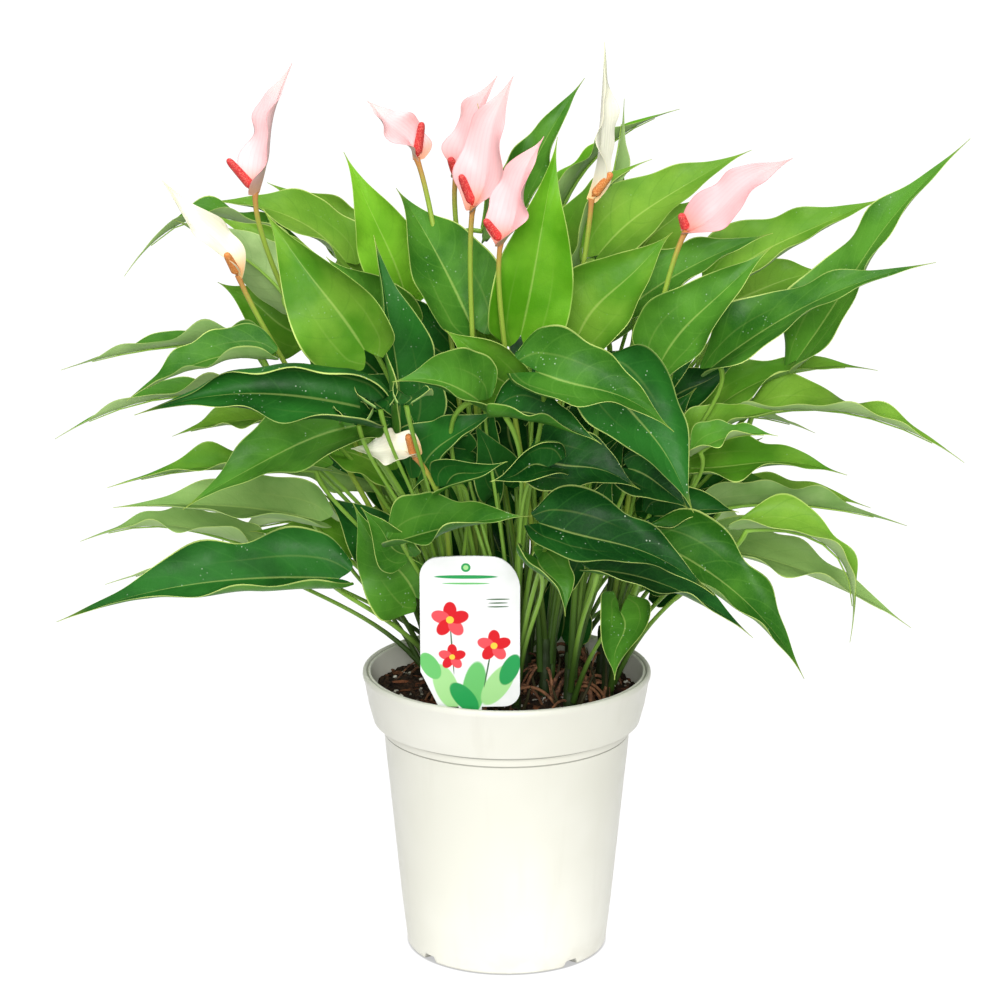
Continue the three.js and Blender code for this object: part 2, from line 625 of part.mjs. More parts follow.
const potProfile = [
  [0, 0],
  [BASE_RADIUS - FOOT_ROUND, 0],
  [BASE_RADIUS, FOOT_ROUND],
  [BODY_TOP_RADIUS - GROOVE.deep, SECOND_GROOVE],
  [BODY_TOP_RADIUS, SECOND_GROOVE + GROOVE.high],
  [BODY_TOP_RADIUS, COLLAR_FOOT],
  [COLLAR_FOOT_RADIUS, COLLAR_FOOT + COLLAR_STEP],
  [RIM_RADIUS - LIP.bead, POT_HEIGHT - LIP.beadFoot],
  [RIM_RADIUS, POT_HEIGHT - LIP.beadHead],
  [RIM_RADIUS - LIP.round, POT_HEIGHT - LIP.round],
  [RIM_RADIUS - LIP.top, POT_HEIGHT],
  [RIM_RADIUS - LIP.inner, POT_HEIGHT - LIP.round],
  [RIM_RADIUS - LIP.ledge, POT_HEIGHT - LIP.ledgeDrop],
  [COLLAR_FOOT_RADIUS - WALL, COLLAR_FOOT + SHOULDER],
  [BODY_TOP_RADIUS - WALL, COLLAR_FOOT - SHOULDER],
  [BASE_RADIUS - WALL, FLOOR],
  [0, FLOOR],
];

function turned(profile, segments) {
  const section = profile.map(([r, z]) => new THREE.Vector2(r, z));
  const shape = new THREE.LatheGeometry(section, segments);
  shape.rotateX(Math.PI / 2);
  return shape;
}

function notchGeometry(angle) {
  const notch = new THREE.BoxGeometry(2 * NOTCH.depth, NOTCH.width, 2 * NOTCH.height);
  notch.translate(BASE_RADIUS, 0, 0);
  notch.rotateZ(angle);
  return notch;
}

let potBody = solid(turned(potProfile, POT_SEGMENTS));
for (let k = 0; k < NOTCHES; k += 1) {
  const angle = radians(NOTCH.turn) + (2 * Math.PI * k) / NOTCHES;
  potBody = potBody.subtract(solid(notchGeometry(angle)));
}
addPiece("pot", geometryOf(potBody), materials.pot);

// The plant label: a stick-in plate with an arched top, leaning a little to the front

const LABEL_CURVE = 3;

function labelShape(extra) {
  const half = LABEL.width / 2 + extra;
  const spike = LABEL.spike / 2 + extra;
  const shape = new THREE.Shape();
  const top = LABEL.head + extra;
  const foot = -LABEL.depth - extra;
  const edge = -LABEL_CUTS.footDrop - extra;
  const [rightIn, rightDown] = LABEL_CUTS.topRight;
  const [leftIn, leftDown] = LABEL_CUTS.topLeft;
  const [chamferIn, chamferUp] = LABEL_CUTS.chamfer;
  shape.moveTo(0, foot);
  shape.lineTo(spike * LABEL_CUTS.pointShare, foot + LABEL_CUTS.point);
  shape.lineTo(spike, -LABEL_CUTS.neck);
  shape.lineTo(half - LABEL_CUTS.footRound, edge);
  shape.quadraticCurveTo(half, edge, half, edge + LABEL_CUTS.footRound);
  shape.lineTo(half, top - rightDown);
  shape.quadraticCurveTo(half, top, half - rightIn, top);
  shape.quadraticCurveTo(0, top + LABEL_CUTS.topArch, leftIn - half, top);
  shape.lineTo(-half, top - leftDown);
  shape.lineTo(-half, chamferUp);
  shape.lineTo(chamferIn - half, edge);
  shape.lineTo(-spike, -LABEL_CUTS.neck);
  shape.lineTo(-spike * LABEL_CUTS.pointShare, foot + LABEL_CUTS.point);
  shape.closePath();
  return shape;
}

function labelGeometry(extra) {
  const depth = LABEL.thickness + 2 * extra;
  const plate = new THREE.ExtrudeGeometry(labelShape(extra), { depth, bevelEnabled: false, curveSegments: LABEL_CURVE });
  plate.translate(0, 0, -depth / 2);
  plate.rotateX(Math.PI / 2 + radians(LABEL.lean));
  plate.translate(...LABEL_PLACE);
  return plate;
}

addPiece("label", merged(labelGeometry(0)), materials.label);

// Aerial roots: a woody knob in the soil with roots that arch over and dip back into it

const ROOT_KNOB = { place: [36, -12], radius: 3.6, topRadius: 2.6, rise: 13, depth: 6, sides: 7 };
const ROOTS = [
  { end: [24, -22], height: 10, radius: 1.3 },
  { end: [44, -27], height: 14, radius: 1.5 },
  { end: [22, -16], height: 16, radius: 1.1 },
  { end: [40, 6], height: 12, radius: 1.4 },
  { end: [28, 4], height: 9, radius: 1.2 },
];
const ROOT_BEND = { top: 3, out: 0.5, rise: 0.6, back: 0.1, sink: 4, steps: 4, sides: 4 };

function rootSolid({ end, height, radius }, extra) {
  const [x, y] = ROOT_KNOB.place;
  const start = new THREE.Vector3(x, y, SOIL_TOP + ROOT_KNOB.rise - ROOT_BEND.top);
  const finish = new THREE.Vector3(end[0], end[1], SOIL_TOP - ROOT_BEND.sink - extra);
  const flat = new THREE.Vector3(end[0] - x, end[1] - y, 0);
  const first = start.clone().addScaledVector(flat, ROOT_BEND.out);
  first.z += ROOT_BEND.rise * height;
  const second = finish.clone().addScaledVector(flat, -ROOT_BEND.back);
  second.z += height;
  return solid(rod(start, first, second, finish, evenReaches(radius + extra, ROOT_BEND.steps), ROOT_BEND.sides));
}

function rootSystem(extra) {
  const { place, radius, topRadius, rise, depth, sides } = ROOT_KNOB;
  const knob = new THREE.CylinderGeometry(topRadius + extra, radius + extra, rise + depth + extra, sides);
  knob.rotateX(Math.PI / 2);
  knob.translate(place[0], place[1], SOIL_TOP + (rise - depth - extra) / 2);
  return joined([solid(knob), ...ROOTS.map((root) => rootSolid(root, extra))]);
}

addPiece("aerial_roots", geometryOf(rootSystem(0)), materials.root);

// The soil: it fills the pot up to a bumpy top, with plain holes for what stands in it

const SOIL_SEGMENTS = 24;
const SOIL_GAP = 3 * FIT;
const SOIL_RINGS = [56, 30];
const SOIL_SLOPE = 3;
const SOIL_SPREAD = 1.6;
const SOIL_WAVES = { x: 0.17, y: 0.21, startX: 1, startY: 2 };
const soilProfile = [
  [0, FLOOR + FIT],
  [BASE_RADIUS - WALL - FIT, FLOOR + FIT],
  [BODY_TOP_RADIUS - WALL - SOIL_GAP, COLLAR_FOOT - SHOULDER],
  [COLLAR_FOOT_RADIUS - WALL - SOIL_GAP, COLLAR_FOOT + SHOULDER + FIT],
  [COLLAR_FOOT_RADIUS - WALL + SOIL_SPREAD, SOIL_TOP - SOIL_SLOPE],
  [SOIL_RINGS[0], SOIL_TOP],
  [SOIL_RINGS[1], SOIL_TOP],
  [0, SOIL_TOP],
];

function soilGeometry() {
  const soil = turned(soilProfile, SOIL_SEGMENTS);
  const place = soil.attributes.position;
  for (let k = 0; k < place.count; k += 1) {
    if (place.getZ(k) > SOIL_TOP - FIT) {
      const alongX = Math.sin(place.getX(k) * SOIL_WAVES.x + SOIL_WAVES.startX);
      const alongY = Math.cos(place.getY(k) * SOIL_WAVES.y + SOIL_WAVES.startY);
      place.setZ(k, SOIL_TOP + SOIL_BUMP * alongX * alongY);
    }
  }
  return soil;
}

let soilBody = solid(soilGeometry());
for (const shoot of Object.values(SHOOTS)) {
  soilBody = soilBody.subtract(solid(stemGeometry(shoot.foot, FIT)));
}
soilBody = soilBody.subtract(solid(labelGeometry(FIT))).subtract(rootSystem(FIT));
addPiece("soil", geometryOf(soilBody), materials.soil);

export default plant;
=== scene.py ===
# %% [markdown]
# # A potted anthurium
# This lesson dresses a house plant in a plastic pot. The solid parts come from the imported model,
# and each of them gets a finer surface here: leaves with veins and pale margins, waxy blooms, a
# moulded pot, crumbly soil and a printed plant label. Every surface is worked out with numpy from a
# few numbers, so a leaf can be changed by changing one row of a table. Lengths are in millimetres
# and angles in degrees, unless a comment says otherwise.

# %% The frame and the units
import math

import bpy
import numpy as np
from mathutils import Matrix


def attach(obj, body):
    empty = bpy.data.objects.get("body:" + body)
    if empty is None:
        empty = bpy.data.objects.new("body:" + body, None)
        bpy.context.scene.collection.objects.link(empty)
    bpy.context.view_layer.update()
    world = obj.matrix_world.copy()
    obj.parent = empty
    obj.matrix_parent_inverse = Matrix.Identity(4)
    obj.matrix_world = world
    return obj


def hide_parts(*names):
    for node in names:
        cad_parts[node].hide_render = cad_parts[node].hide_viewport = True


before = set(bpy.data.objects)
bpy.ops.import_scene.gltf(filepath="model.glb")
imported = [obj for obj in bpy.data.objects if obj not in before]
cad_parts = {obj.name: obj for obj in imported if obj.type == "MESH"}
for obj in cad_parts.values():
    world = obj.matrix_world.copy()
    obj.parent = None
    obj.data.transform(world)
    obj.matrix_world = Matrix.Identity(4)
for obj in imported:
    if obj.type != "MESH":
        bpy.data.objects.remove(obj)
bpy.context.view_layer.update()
MM = 0.001
BODY = "root"
print("nodes in the frame:", len(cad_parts))

# %% [markdown]
# ## The camera
# The photograph looks slightly down on the plant from the front with a long lens, which keeps the
# pot's sides nearly parallel. The place and the lens were found by matching the pot's rim and foot.

# %% The camera
CAMERA_PLACE = (-0.0035, -1.69, 0.680)
CAMERA_DIP = 14.6
CAMERA_LENS = 122.4

camera_data = bpy.data.cameras.new("camera")
camera_data.lens = CAMERA_LENS
camera_data.sensor_width = 36
camera = bpy.data.objects.new("camera", camera_data)
camera.location = CAMERA_PLACE
camera.rotation_euler = (math.radians(90 - CAMERA_DIP), 0, 0)
bpy.context.scene.collection.objects.link(camera)
bpy.context.scene.camera = camera
print("lens", CAMERA_LENS, "mm")

# %% [markdown]
# ## Grids of faces
# Leaves, stalks, the pot and the soil are all grids of points, so their faces can be numbered once
# and for all. Loops over single points would be slow, so faces are written as whole arrays of corner
# numbers. A grid that closes round, like a tube, gets its two ends closed as well.

# %% Grids of faces
def cap_faces(columns):
    """Quads across a ring with an even number of points. Quad k has the corners k and k + 1 and the
    two that face them, so the quads lie side by side like the rungs of a ladder."""
    k = np.arange(columns // 2 - 1)
    return np.stack([k, k + 1, columns - 2 - k, columns - 1 - k], -1)


def grid_faces(rows, columns, closed=False):
    """Quads of a grid whose points are numbered row by row. `closed` joins the last column to the
    first, and closes the first and the last row with quads across them."""
    steps = columns if closed else columns - 1
    row, column = np.meshgrid(np.arange(rows - 1), np.arange(steps), indexing="ij")
    beside = (column + 1) % columns
    here, above = row * columns, (row + 1) * columns
    faces = np.stack([here + column, here + beside, above + beside, above + column], -1).reshape(-1, 4)
    if not closed:
        return faces
    cap = cap_faces(columns)
    return np.concatenate([faces, cap[:, ::-1], cap + (rows - 1) * columns])


print("faces of a tube of 3 rings and 8 sides:", len(grid_faces(3, 8, closed=True)))

# %% [markdown]
# ## Patches and pieces
# A piece is made of patches. Each patch has its points and faces, a pair of marks (across, along) for
# every point, a material, and a tone that makes it a little lighter or darker than its neighbours.
# The materials read the marks as the UV map `blade` and the tone as an attribute. Joining the patches
# as arrays gives one mesh at once, where joining objects one by one would take minutes.

# %% Patches and pieces
def patch(points, marks, faces, material, tone=0.5):
    """One patch: points in mm, marks, (m, 4) faces, the number of its material and its tone."""
    return {"points": points.reshape(-1, 3), "marks": marks.reshape(-1, 2), "faces": faces,
            "material": material, "tone": tone}


def make_piece(name, patches, materials, crease=50):
    """Joins the patches in one smooth mesh, in metres, and writes its marks and its tones."""
    starts = np.cumsum([0] + [len(p["points"]) for p in patches[:-1]])
    points = np.concatenate([p["points"] for p in patches]) * MM
    faces = np.concatenate([p["faces"] + start for p, start in zip(patches, starts)])
    numbers = np.concatenate([np.broadcast_to(p["material"], len(p["faces"])) for p in patches])
    marks = np.concatenate([p["marks"] for p in patches])
    tones = np.concatenate([np.broadcast_to(p["tone"], len(p["points"])) for p in patches])
    mesh = bpy.data.meshes.new(name)
    mesh.from_pydata(points.tolist(), [], faces.tolist())
    mesh.polygons.foreach_set("material_index", numbers.astype(np.int32))
    corners = np.empty(len(mesh.loops), np.int32)
    mesh.loops.foreach_get("vertex_index", corners)
    mesh.uv_layers.new(name="blade").data.foreach_set("uv", marks[corners].astype(np.float32).ravel())
    mesh.attributes.new("tone", "FLOAT", "POINT").data.foreach_set("value", tones.astype(np.float32))
    mesh.shade_smooth()
    mesh.set_sharp_from_angle(angle=math.radians(crease))
    for material in materials:
        mesh.materials.append(material)
    mesh.update()
    piece = bpy.data.objects.new(name, mesh)
    bpy.context.scene.collection.objects.link(piece)
    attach(piece, BODY)
    return piece


def unit(vectors):
    """Vectors of length one, along the last axis."""
    return vectors / np.linalg.norm(vectors, axis=-1, keepdims=True)


def smooth_step(low, high, values):
    """0 below low, 1 above high, and the S-shaped curve x^2 (3 - 2x) between them."""
    share = np.clip((values - low) / (high - low), 0, 1)
    return share * share * (3 - 2 * share)


print("a quarter of the way up the S:", smooth_step(0, 1, 0.25))

# %% [markdown]
# ## Helpers for materials
# Materials are node trees. A few helpers keep them short: one adds a node with its settings, one
# does a sum, one blends two colours. A value may be a number or the output of another node.

# %% Node helpers
def feed(tree, node, values):
    """Sets the inputs of a node, by name or number, to values or links them to other outputs."""
    for key, value in values.items():
        if isinstance(value, bpy.types.NodeSocket):
            tree.links.new(value, node.inputs[key])
        else:
            node.inputs[key].default_value = value


def add_node(tree, kind, values=None, **settings):
    """A new node with its own settings, and its inputs fed from `values`."""
    node = tree.nodes.new(kind)
    for key, value in settings.items():
        setattr(node, key, value)
    feed(tree, node, values or {})
    return node


def sums(tree, operation, *values):
    """The output of a Math node."""
    return add_node(tree, "ShaderNodeMath", dict(enumerate(values)), operation=operation).outputs[0]


def ramp(tree, value, low, high, to_low=0.0, to_high=1.0):
    """A value carried smoothly from low..high to to_low..to_high."""
    values = {0: value, 1: low, 2: high, 3: to_low, 4: to_high}
    return add_node(tree, "ShaderNodeMapRange", values, interpolation_type="SMOOTHSTEP").outputs[0]


def blend(tree, share, first, second):
    """A colour between two colours."""
    return add_node(tree, "ShaderNodeMix", {0: share, 6: first, 7: second}, data_type="RGBA").outputs[2]


def noise(tree, vector, scale, detail=2.0, roughness=0.5):
    """Soft random values between 0 and 1, with `scale` patches to the metre."""
    values = {"Vector": vector, "Scale": scale, "Detail": detail, "Roughness": roughness}
    return add_node(tree, "ShaderNodeTexNoise", values).outputs["Fac"]


def apart(tree, vector):
    """The three numbers of a vector."""
    return add_node(tree, "ShaderNodeSeparateXYZ", {0: vector}).outputs


def paint(red, green, blue):
    """A colour named by its screen values, 0 to 255, as linear light."""
    share = np.array([red, green, blue]) / 255
    linear = np.where(share <= 0.04045, share / 12.92, ((share + 0.055) / 1.055) ** 2.4)
    return (*linear.tolist(), 1.0)


# %% [markdown]
# ## Node groups for skins
# Most finishes here are the same few effects with other colours, so each effect is a node group. A
# skin takes the place of a point, its marks and its tone, and gives a colour, a roughness and a
# normal. One group could hold a whole material, but only small groups can be used again.

# %% Node groups for skins
SOCKETS = {"colour": "NodeSocketColor", "vector": "NodeSocketVector", "value": "NodeSocketFloat"}


def new_group(name, inputs, outputs):
    """An empty node group with named sockets: the group, its inputs and its end node."""
    group = bpy.data.node_groups.new(name, "ShaderNodeTree")
    for direction, sockets in (("INPUT", inputs), ("OUTPUT", outputs)):
        for label, kind in sockets.items():
            group.interface.new_socket(name=label, in_out=direction, socket_type=SOCKETS[kind])
    return group, group.nodes.new("NodeGroupInput").outputs, group.nodes.new("NodeGroupOutput")


def new_skin(name, **inputs):
    """An empty skin group. Every skin reads Place, Marks and Tone besides its own inputs."""
    shared = {"Place": "vector", "Marks": "vector", "Tone": "value"}
    return new_group(name, shared | inputs, {"Colour": "colour", "Roughness": "value", "Normal": "vector"})


def end_skin(group, end, colour, roughness, height, depth):
    """Joins a skin's colour, roughness and relief (a height between 0 and 1, `depth` metres high)."""
    relief = add_node(group, "ShaderNodeBump", {"Height": height, "Distance": depth})
    feed(group, end, {"Colour": colour, "Roughness": roughness, "Normal": relief.outputs["Normal"]})


def place_group(tree, group, values):
    """The group as a node in a material or in another group: its outputs."""
    node = add_node(tree, "ShaderNodeGroup", node_tree=group)
    feed(tree, node, values)
    return node.outputs


print("socket kinds:", ", ".join(SOCKETS))

# %% [markdown]
# ## Materials
# The shader itself stays in the material, where its constant settings are easy to find, and the skin
# is one node beside it. Small changes in gloss make a surface look touched and grown, so every
# finish here shares one group for them.

# %% Materials
def new_material(name, **constants):
    """A material with a Principled shader: the material, its tree, its shader and the object's place."""
    material = bpy.data.materials.new(name)
    material.use_nodes = True
    tree = material.node_tree
    shader = tree.nodes["Principled BSDF"]
    for key, value in constants.items():
        shader.inputs[key.replace("_", " ")].default_value = value
    return material, tree, shader, tree.nodes.new("ShaderNodeTexCoord").outputs["Object"]


def skin_material(name, skin, values, **constants):
    """A material whose colour, roughness and normal come from a skin."""
    material, tree, shader, place = new_material(name, **constants)
    shared = {
        "Place": place,
        "Marks": add_node(tree, "ShaderNodeUVMap", uv_map="blade").outputs[0],
        "Tone": add_node(tree, "ShaderNodeAttribute", attribute_name="tone").outputs["Fac"],
    }
    made = place_group(tree, skin, shared | values)
    for output, socket in (("Colour", "Base Color"), ("Roughness", "Roughness"), ("Normal", "Normal")):
        tree.links.new(made[output], shader.inputs[socket])
    return material


GLOSS_PATCHES = 180
uneven_gloss, given, end = new_group(
    "uneven_gloss", {"Place": "vector", "Gloss": "value"}, {"Roughness": "value"})
wobble = ramp(uneven_gloss, noise(uneven_gloss, given["Place"], GLOSS_PATCHES, 2), 0.2, 0.8, -0.06, 0.08)
feed(uneven_gloss, end, {"Roughness": sums(uneven_gloss, "ADD", given["Gloss"], wobble)})
print("group", uneven_gloss.name)

# %% [markdown]
# ## Marks on a blade
# A leaf has a midrib, side veins that bow towards the tip, long veins beside the midrib and a pale
# margin. They follow the blade, so they are worked out from its own marks: across runs 0 to 1 from
# margin to margin, and along 0 to 1 from base to tip. The same sums shape the relief further down.

# %% The blade marks group
VEIN_SLOPE = 0.24
VEIN_BOW = 1.2
VEIN_PAIRS = 8
LONG_VEIN = 0.46

blade_marks, given, end = new_group(
    "blade_marks", {"Marks": "vector"},
    {"Veins": "value", "Midrib": "value", "Long Veins": "value", "Margin": "value", "Tip": "value"})
mark_across, mark_along, _ = apart(blade_marks, given["Marks"])
from_midrib = sums(blade_marks, "ABSOLUTE", sums(blade_marks, "MULTIPLY_ADD", mark_across, 2.0, -1.0))
bowed = sums(blade_marks, "MULTIPLY", sums(blade_marks, "POWER", from_midrib, VEIN_BOW), VEIN_SLOPE)
count = sums(blade_marks, "MULTIPLY", sums(blade_marks, "SUBTRACT", mark_along, bowed), float(VEIN_PAIRS))
from_long = sums(blade_marks, "ABSOLUTE", sums(blade_marks, "SUBTRACT", from_midrib, LONG_VEIN))
long_line = ramp(blade_marks, from_long, 0.0, 0.035, 1.0, 0.0)
long_fade = ramp(blade_marks, mark_along, 0.1, 0.5, 1.0, 0.0)
rib_width = ramp(blade_marks, mark_along, 0.0, 0.9, 0.045, 0.015)
feed(blade_marks, end, {
    "Veins": ramp(blade_marks, sums(blade_marks, "PINGPONG", count, 0.5), 0.0, 0.07, 1.0, 0.0),
    "Midrib": ramp(blade_marks, sums(blade_marks, "DIVIDE", from_midrib, rib_width), 0.2, 1.0, 1.0, 0.0),
    "Long Veins": sums(blade_marks, "MULTIPLY", long_line, long_fade),
    "Margin": ramp(blade_marks, from_midrib, 0.962, 0.985),
    "Tip": ramp(blade_marks, mark_along, 0.86, 1.0),
})
print("group", blade_marks.name)

# %% [markdown]
# ## Leaf finishes
# An anthurium leaf is a waxy green skin over softer tissue: mottled a little, with a net of fine
# veins, a pale thread along the margin, a yellowish drip tip, and a few dried water spots. Old
# leaves are deep green and glossy and young ones lime and duller, so one skin makes them all, and
# only its colours change. The underside is the same skin, paler and matt.

# %% The leaf skin
THREAD_COLOUR = paint(218, 238, 134)
TIP_COLOUR = paint(150, 168, 66)
SPOT_COLOUR = paint(214, 232, 206)
NET_SCALE, SPOT_SCALE = 430, 420
LONG_VEIN_SHARE, MIDRIB_SHARE, TIP_SHARE = 0.08, 0.24, 0.7
LEAF_GRAIN, LEAF_GRAIN_DEPTH = 600, 0.00012

leaf_skin, given, end = new_skin("leaf_skin", Dark="colour", Light="colour", Vein="colour", Lines="value",
                                 Thread="value", Spots="value", Gloss="value")
place = given["Place"]
lines = place_group(leaf_skin, blade_marks, {"Marks": given["Marks"]})
mottle = ramp(leaf_skin, noise(leaf_skin, place, 38, 3), 0.3, 0.7, -0.36, 0.36)
colour = blend(leaf_skin, sums(leaf_skin, "ADD", given["Tone"], mottle), given["Dark"], given["Light"])
net = add_node(leaf_skin, "ShaderNodeTexVoronoi", {"Vector": place, "Scale": NET_SCALE},
               feature="DISTANCE_TO_EDGE")
net_line = ramp(leaf_skin, net.outputs["Distance"], 0.0, 0.12, 0.35, 0.0)
net_share = sums(leaf_skin, "MULTIPLY", net_line, given["Lines"])
colour = blend(leaf_skin, net_share, colour, given["Vein"])
colour = blend(leaf_skin, sums(leaf_skin, "MULTIPLY", lines["Veins"], given["Lines"]), colour, given["Vein"])
long_share = sums(leaf_skin, "MULTIPLY", lines["Long Veins"], LONG_VEIN_SHARE)
colour = blend(leaf_skin, long_share, colour, THREAD_COLOUR)
midrib_share = sums(leaf_skin, "MULTIPLY", lines["Midrib"], MIDRIB_SHARE)
colour = blend(leaf_skin, midrib_share, colour, THREAD_COLOUR)
colour = blend(leaf_skin, sums(leaf_skin, "MULTIPLY", lines["Tip"], TIP_SHARE), colour, TIP_COLOUR)
worn = ramp(leaf_skin, noise(leaf_skin, place, 30, 2), 0.35, 0.65, 0.35, 1.0)
thread = sums(leaf_skin, "MULTIPLY", sums(leaf_skin, "MULTIPLY", lines["Margin"], given["Thread"]), worn)
colour = blend(leaf_skin, thread, colour, THREAD_COLOUR)
drops = add_node(leaf_skin, "ShaderNodeTexVoronoi", {"Vector": place, "Scale": SPOT_SCALE})
drop = ramp(leaf_skin, drops.outputs["Distance"], 0.1, 0.2, 1.0, 0.0)
spotted = ramp(leaf_skin, noise(leaf_skin, place, 90, 1), 0.56, 0.72)
rare = sums(leaf_skin, "MULTIPLY", spotted, given["Spots"])
colour = blend(leaf_skin, sums(leaf_skin, "MULTIPLY", drop, rare), colour, SPOT_COLOUR)
gloss = place_group(leaf_skin, uneven_gloss, {"Place": place, "Gloss": given["Gloss"]})["Roughness"]
end_skin(leaf_skin, end, colour, gloss, noise(leaf_skin, place, LEAF_GRAIN, 3), LEAF_GRAIN_DEPTH)
print("group", leaf_skin.name)

# %% [markdown]
# ## Six greens
# The same plant carries leaves of several ages, and each age has its own pair of greens: deep and mid
# for old leaves in the shade, darkened further by painted shade, bright and lime for those at the top,
# lightened by painted light, soft for thin ones, with painted light that stands for the light shining
# through them, and a pale one for undersides. They differ only in the values given to the skin, so one
# change to the skin changes every leaf.

# %% The leaf materials
LEAF_TONES = {
    "deep": {"Dark": paint(10, 60, 14), "Light": paint(40, 106, 34), "Vein": paint(66, 130, 50),
             "Lines": 0.16, "Thread": 0.85, "Spots": 0.7, "Gloss": 0.44},
    "mid": {"Dark": paint(42, 98, 22), "Light": paint(84, 142, 42), "Vein": paint(108, 162, 62),
            "Lines": 0.16, "Thread": 0.8, "Spots": 0.4, "Gloss": 0.42},
    "bright": {"Dark": paint(78, 136, 28), "Light": paint(126, 172, 56), "Vein": paint(80, 132, 36),
               "Lines": 0.25, "Thread": 0.75, "Spots": 0.15, "Gloss": 0.44},
    "lime": {"Dark": paint(84, 152, 20), "Light": paint(126, 188, 46), "Vein": paint(90, 148, 34),
             "Lines": 0.16, "Thread": 0.75, "Spots": 0.0, "Gloss": 0.44},
    "soft": {"Dark": paint(100, 146, 66), "Light": paint(142, 178, 98), "Vein": paint(104, 146, 70),
             "Lines": 0.16, "Thread": 0.6, "Spots": 0.1, "Gloss": 0.5},
    "under": {"Dark": paint(118, 158, 82), "Light": paint(164, 194, 124), "Vein": paint(118, 158, 84),
              "Lines": 0.25, "Thread": 0.6, "Spots": 0.0, "Gloss": 0.56},
}
LEAF_SHINE = 0.14
LEAF_FINISHES = [skin_material(f"leaf_{tone}", leaf_skin, values, Specular_IOR_Level=LEAF_SHINE)
                 for tone, values in LEAF_TONES.items()]
LEAF_NUMBERS = {tone: number for number, tone in enumerate(LEAF_TONES)}
print("leaf finishes:", ", ".join(LEAF_TONES))

# %% [markdown]
# ## The stalk finishes
# Leaf stalks are smooth and yellow-green and streaked along their length. Bloom stalks turn orange
# under the bloom, the short stems are olive green over a brown foot, and the dry sheaths around them
# are brown. In the middle of the clump everything is darker near the soil, where little light
# comes in, so painted shade darkens the skin by its height and by its distance from the pot's axis.

# %% The stalk finishes
STALK_PAINTED_SHADE = paint(26, 42, 14)
SHADE_LOW, SHADE_HIGH = 0.155, 0.235
SHADE_NEAR, SHADE_FAR = 0.055, 0.08
stalk_skin, given, end = new_skin("stalk_skin", Low="colour", High="colour", Top="colour", Gloss="value")
mark_around, mark_along, _ = apart(stalk_skin, given["Marks"])
lengthwise = add_node(stalk_skin, "ShaderNodeCombineXYZ", {
    0: sums(stalk_skin, "MULTIPLY", mark_around, 9.0), 1: sums(stalk_skin, "MULTIPLY", mark_along, 1.5),
    2: sums(stalk_skin, "MULTIPLY", given["Tone"], 40.0)})
streak = noise(stalk_skin, lengthwise.outputs[0], 2.5, 2)
colour = blend(stalk_skin, ramp(stalk_skin, mark_along, 0.02, 0.28), given["Low"], given["High"])
colour = blend(stalk_skin, ramp(stalk_skin, mark_along, 0.8, 0.97), colour, given["Top"])
colour = blend(stalk_skin, ramp(stalk_skin, streak, 0.4, 0.8, 0.0, 0.4), colour, given["Low"])
# Painted shade: near the soil in the middle of the clump the stalks turn dark green.
_, _, height = apart(stalk_skin, given["Place"])
flat = add_node(stalk_skin, "ShaderNodeVectorMath", {0: given["Place"], 1: (1, 1, 0)}, operation="MULTIPLY")
from_axis = add_node(stalk_skin, "ShaderNodeVectorMath", {0: flat.outputs[0]}, operation="LENGTH")
shaded = sums(stalk_skin, "MULTIPLY", ramp(stalk_skin, height, SHADE_LOW, SHADE_HIGH, 0.8, 0.0),
              ramp(stalk_skin, from_axis.outputs["Value"], SHADE_NEAR, SHADE_FAR, 1.0, 0.3))
colour = blend(stalk_skin, shaded, colour, STALK_PAINTED_SHADE)
gloss = place_group(stalk_skin, uneven_gloss, {"Place": given["Place"], "Gloss": given["Gloss"]})["Roughness"]
end_skin(stalk_skin, end, colour, gloss, streak, 0.0003)

STALK_TONES = {
    "petiole": {"Low": paint(84, 128, 36), "High": paint(142, 188, 70), "Top": paint(170, 206, 90),
                "Gloss": 0.42},
    "peduncle": {"Low": paint(96, 136, 48), "High": paint(156, 184, 66), "Top": paint(214, 140, 84),
                 "Gloss": 0.42},
    "stem": {"Low": paint(58, 36, 24), "High": paint(50, 66, 28), "Top": paint(74, 108, 38), "Gloss": 0.55},
    "sheath": {"Low": paint(62, 38, 24), "High": paint(98, 62, 38), "Top": paint(126, 88, 54), "Gloss": 0.7},
}
WAX_SHINE = 0.3
STALK_FINISHES = [skin_material(f"{part}_skin", stalk_skin, values, Specular_IOR_Level=WAX_SHINE)
                  for part, values in STALK_TONES.items()]
PETIOLE, PEDUNCLE, STEM, SHEATH = range(4)
print("stalk finishes:", ", ".join(STALK_TONES))

# %% [markdown]
# ## The midrib's path
# A leaf could be sculpted, but this plant has nearly two hundred, so one formula shapes them all. It
# starts with the midrib: a bow between the base and the tip of the blade, that is swung a little to
# one side and back. At every step along it there are three directions: along, sideways and up.

# %% The midrib's path
def blade_frame(leaf, t):
    """The midrib's points and directions: the curve (1-t)^2 base + 2t(1-t) bend + t^2 tip, where bend is
    the middle + 2 arch face, swung sideways by sway sin(2 pi t)."""
    base, tip = np.array(leaf["base"], float), np.array(leaf["tip"], float)
    chord = unit(tip - base)
    face = np.array(leaf["face"], float)
    face = unit(face - face @ chord * chord)
    bend = (base + tip) / 2 + 2 * leaf["arch"] * face
    t = np.asarray(t, float)[..., None]
    along = unit((1 - t) * (bend - base) + t * (tip - bend))
    side = unit(np.cross(along, face))
    swing = leaf["sway"] * np.sin(2 * math.pi * t) * (1 - t)
    centre = (1 - t) ** 2 * base + 2 * t * (1 - t) * bend + t ** 2 * tip + swing * side
    return centre, along, side, np.cross(side, along)


# %% [markdown]
# ## The outline of a blade
# The outline swells quickly from the base and tapers to a long point, and its lobes reach back past
# the base. A drawn outline would fit one leaf. A formula with three numbers fits lance-shaped
# leaves, hearts and spathes alike, and stays smooth at every width.

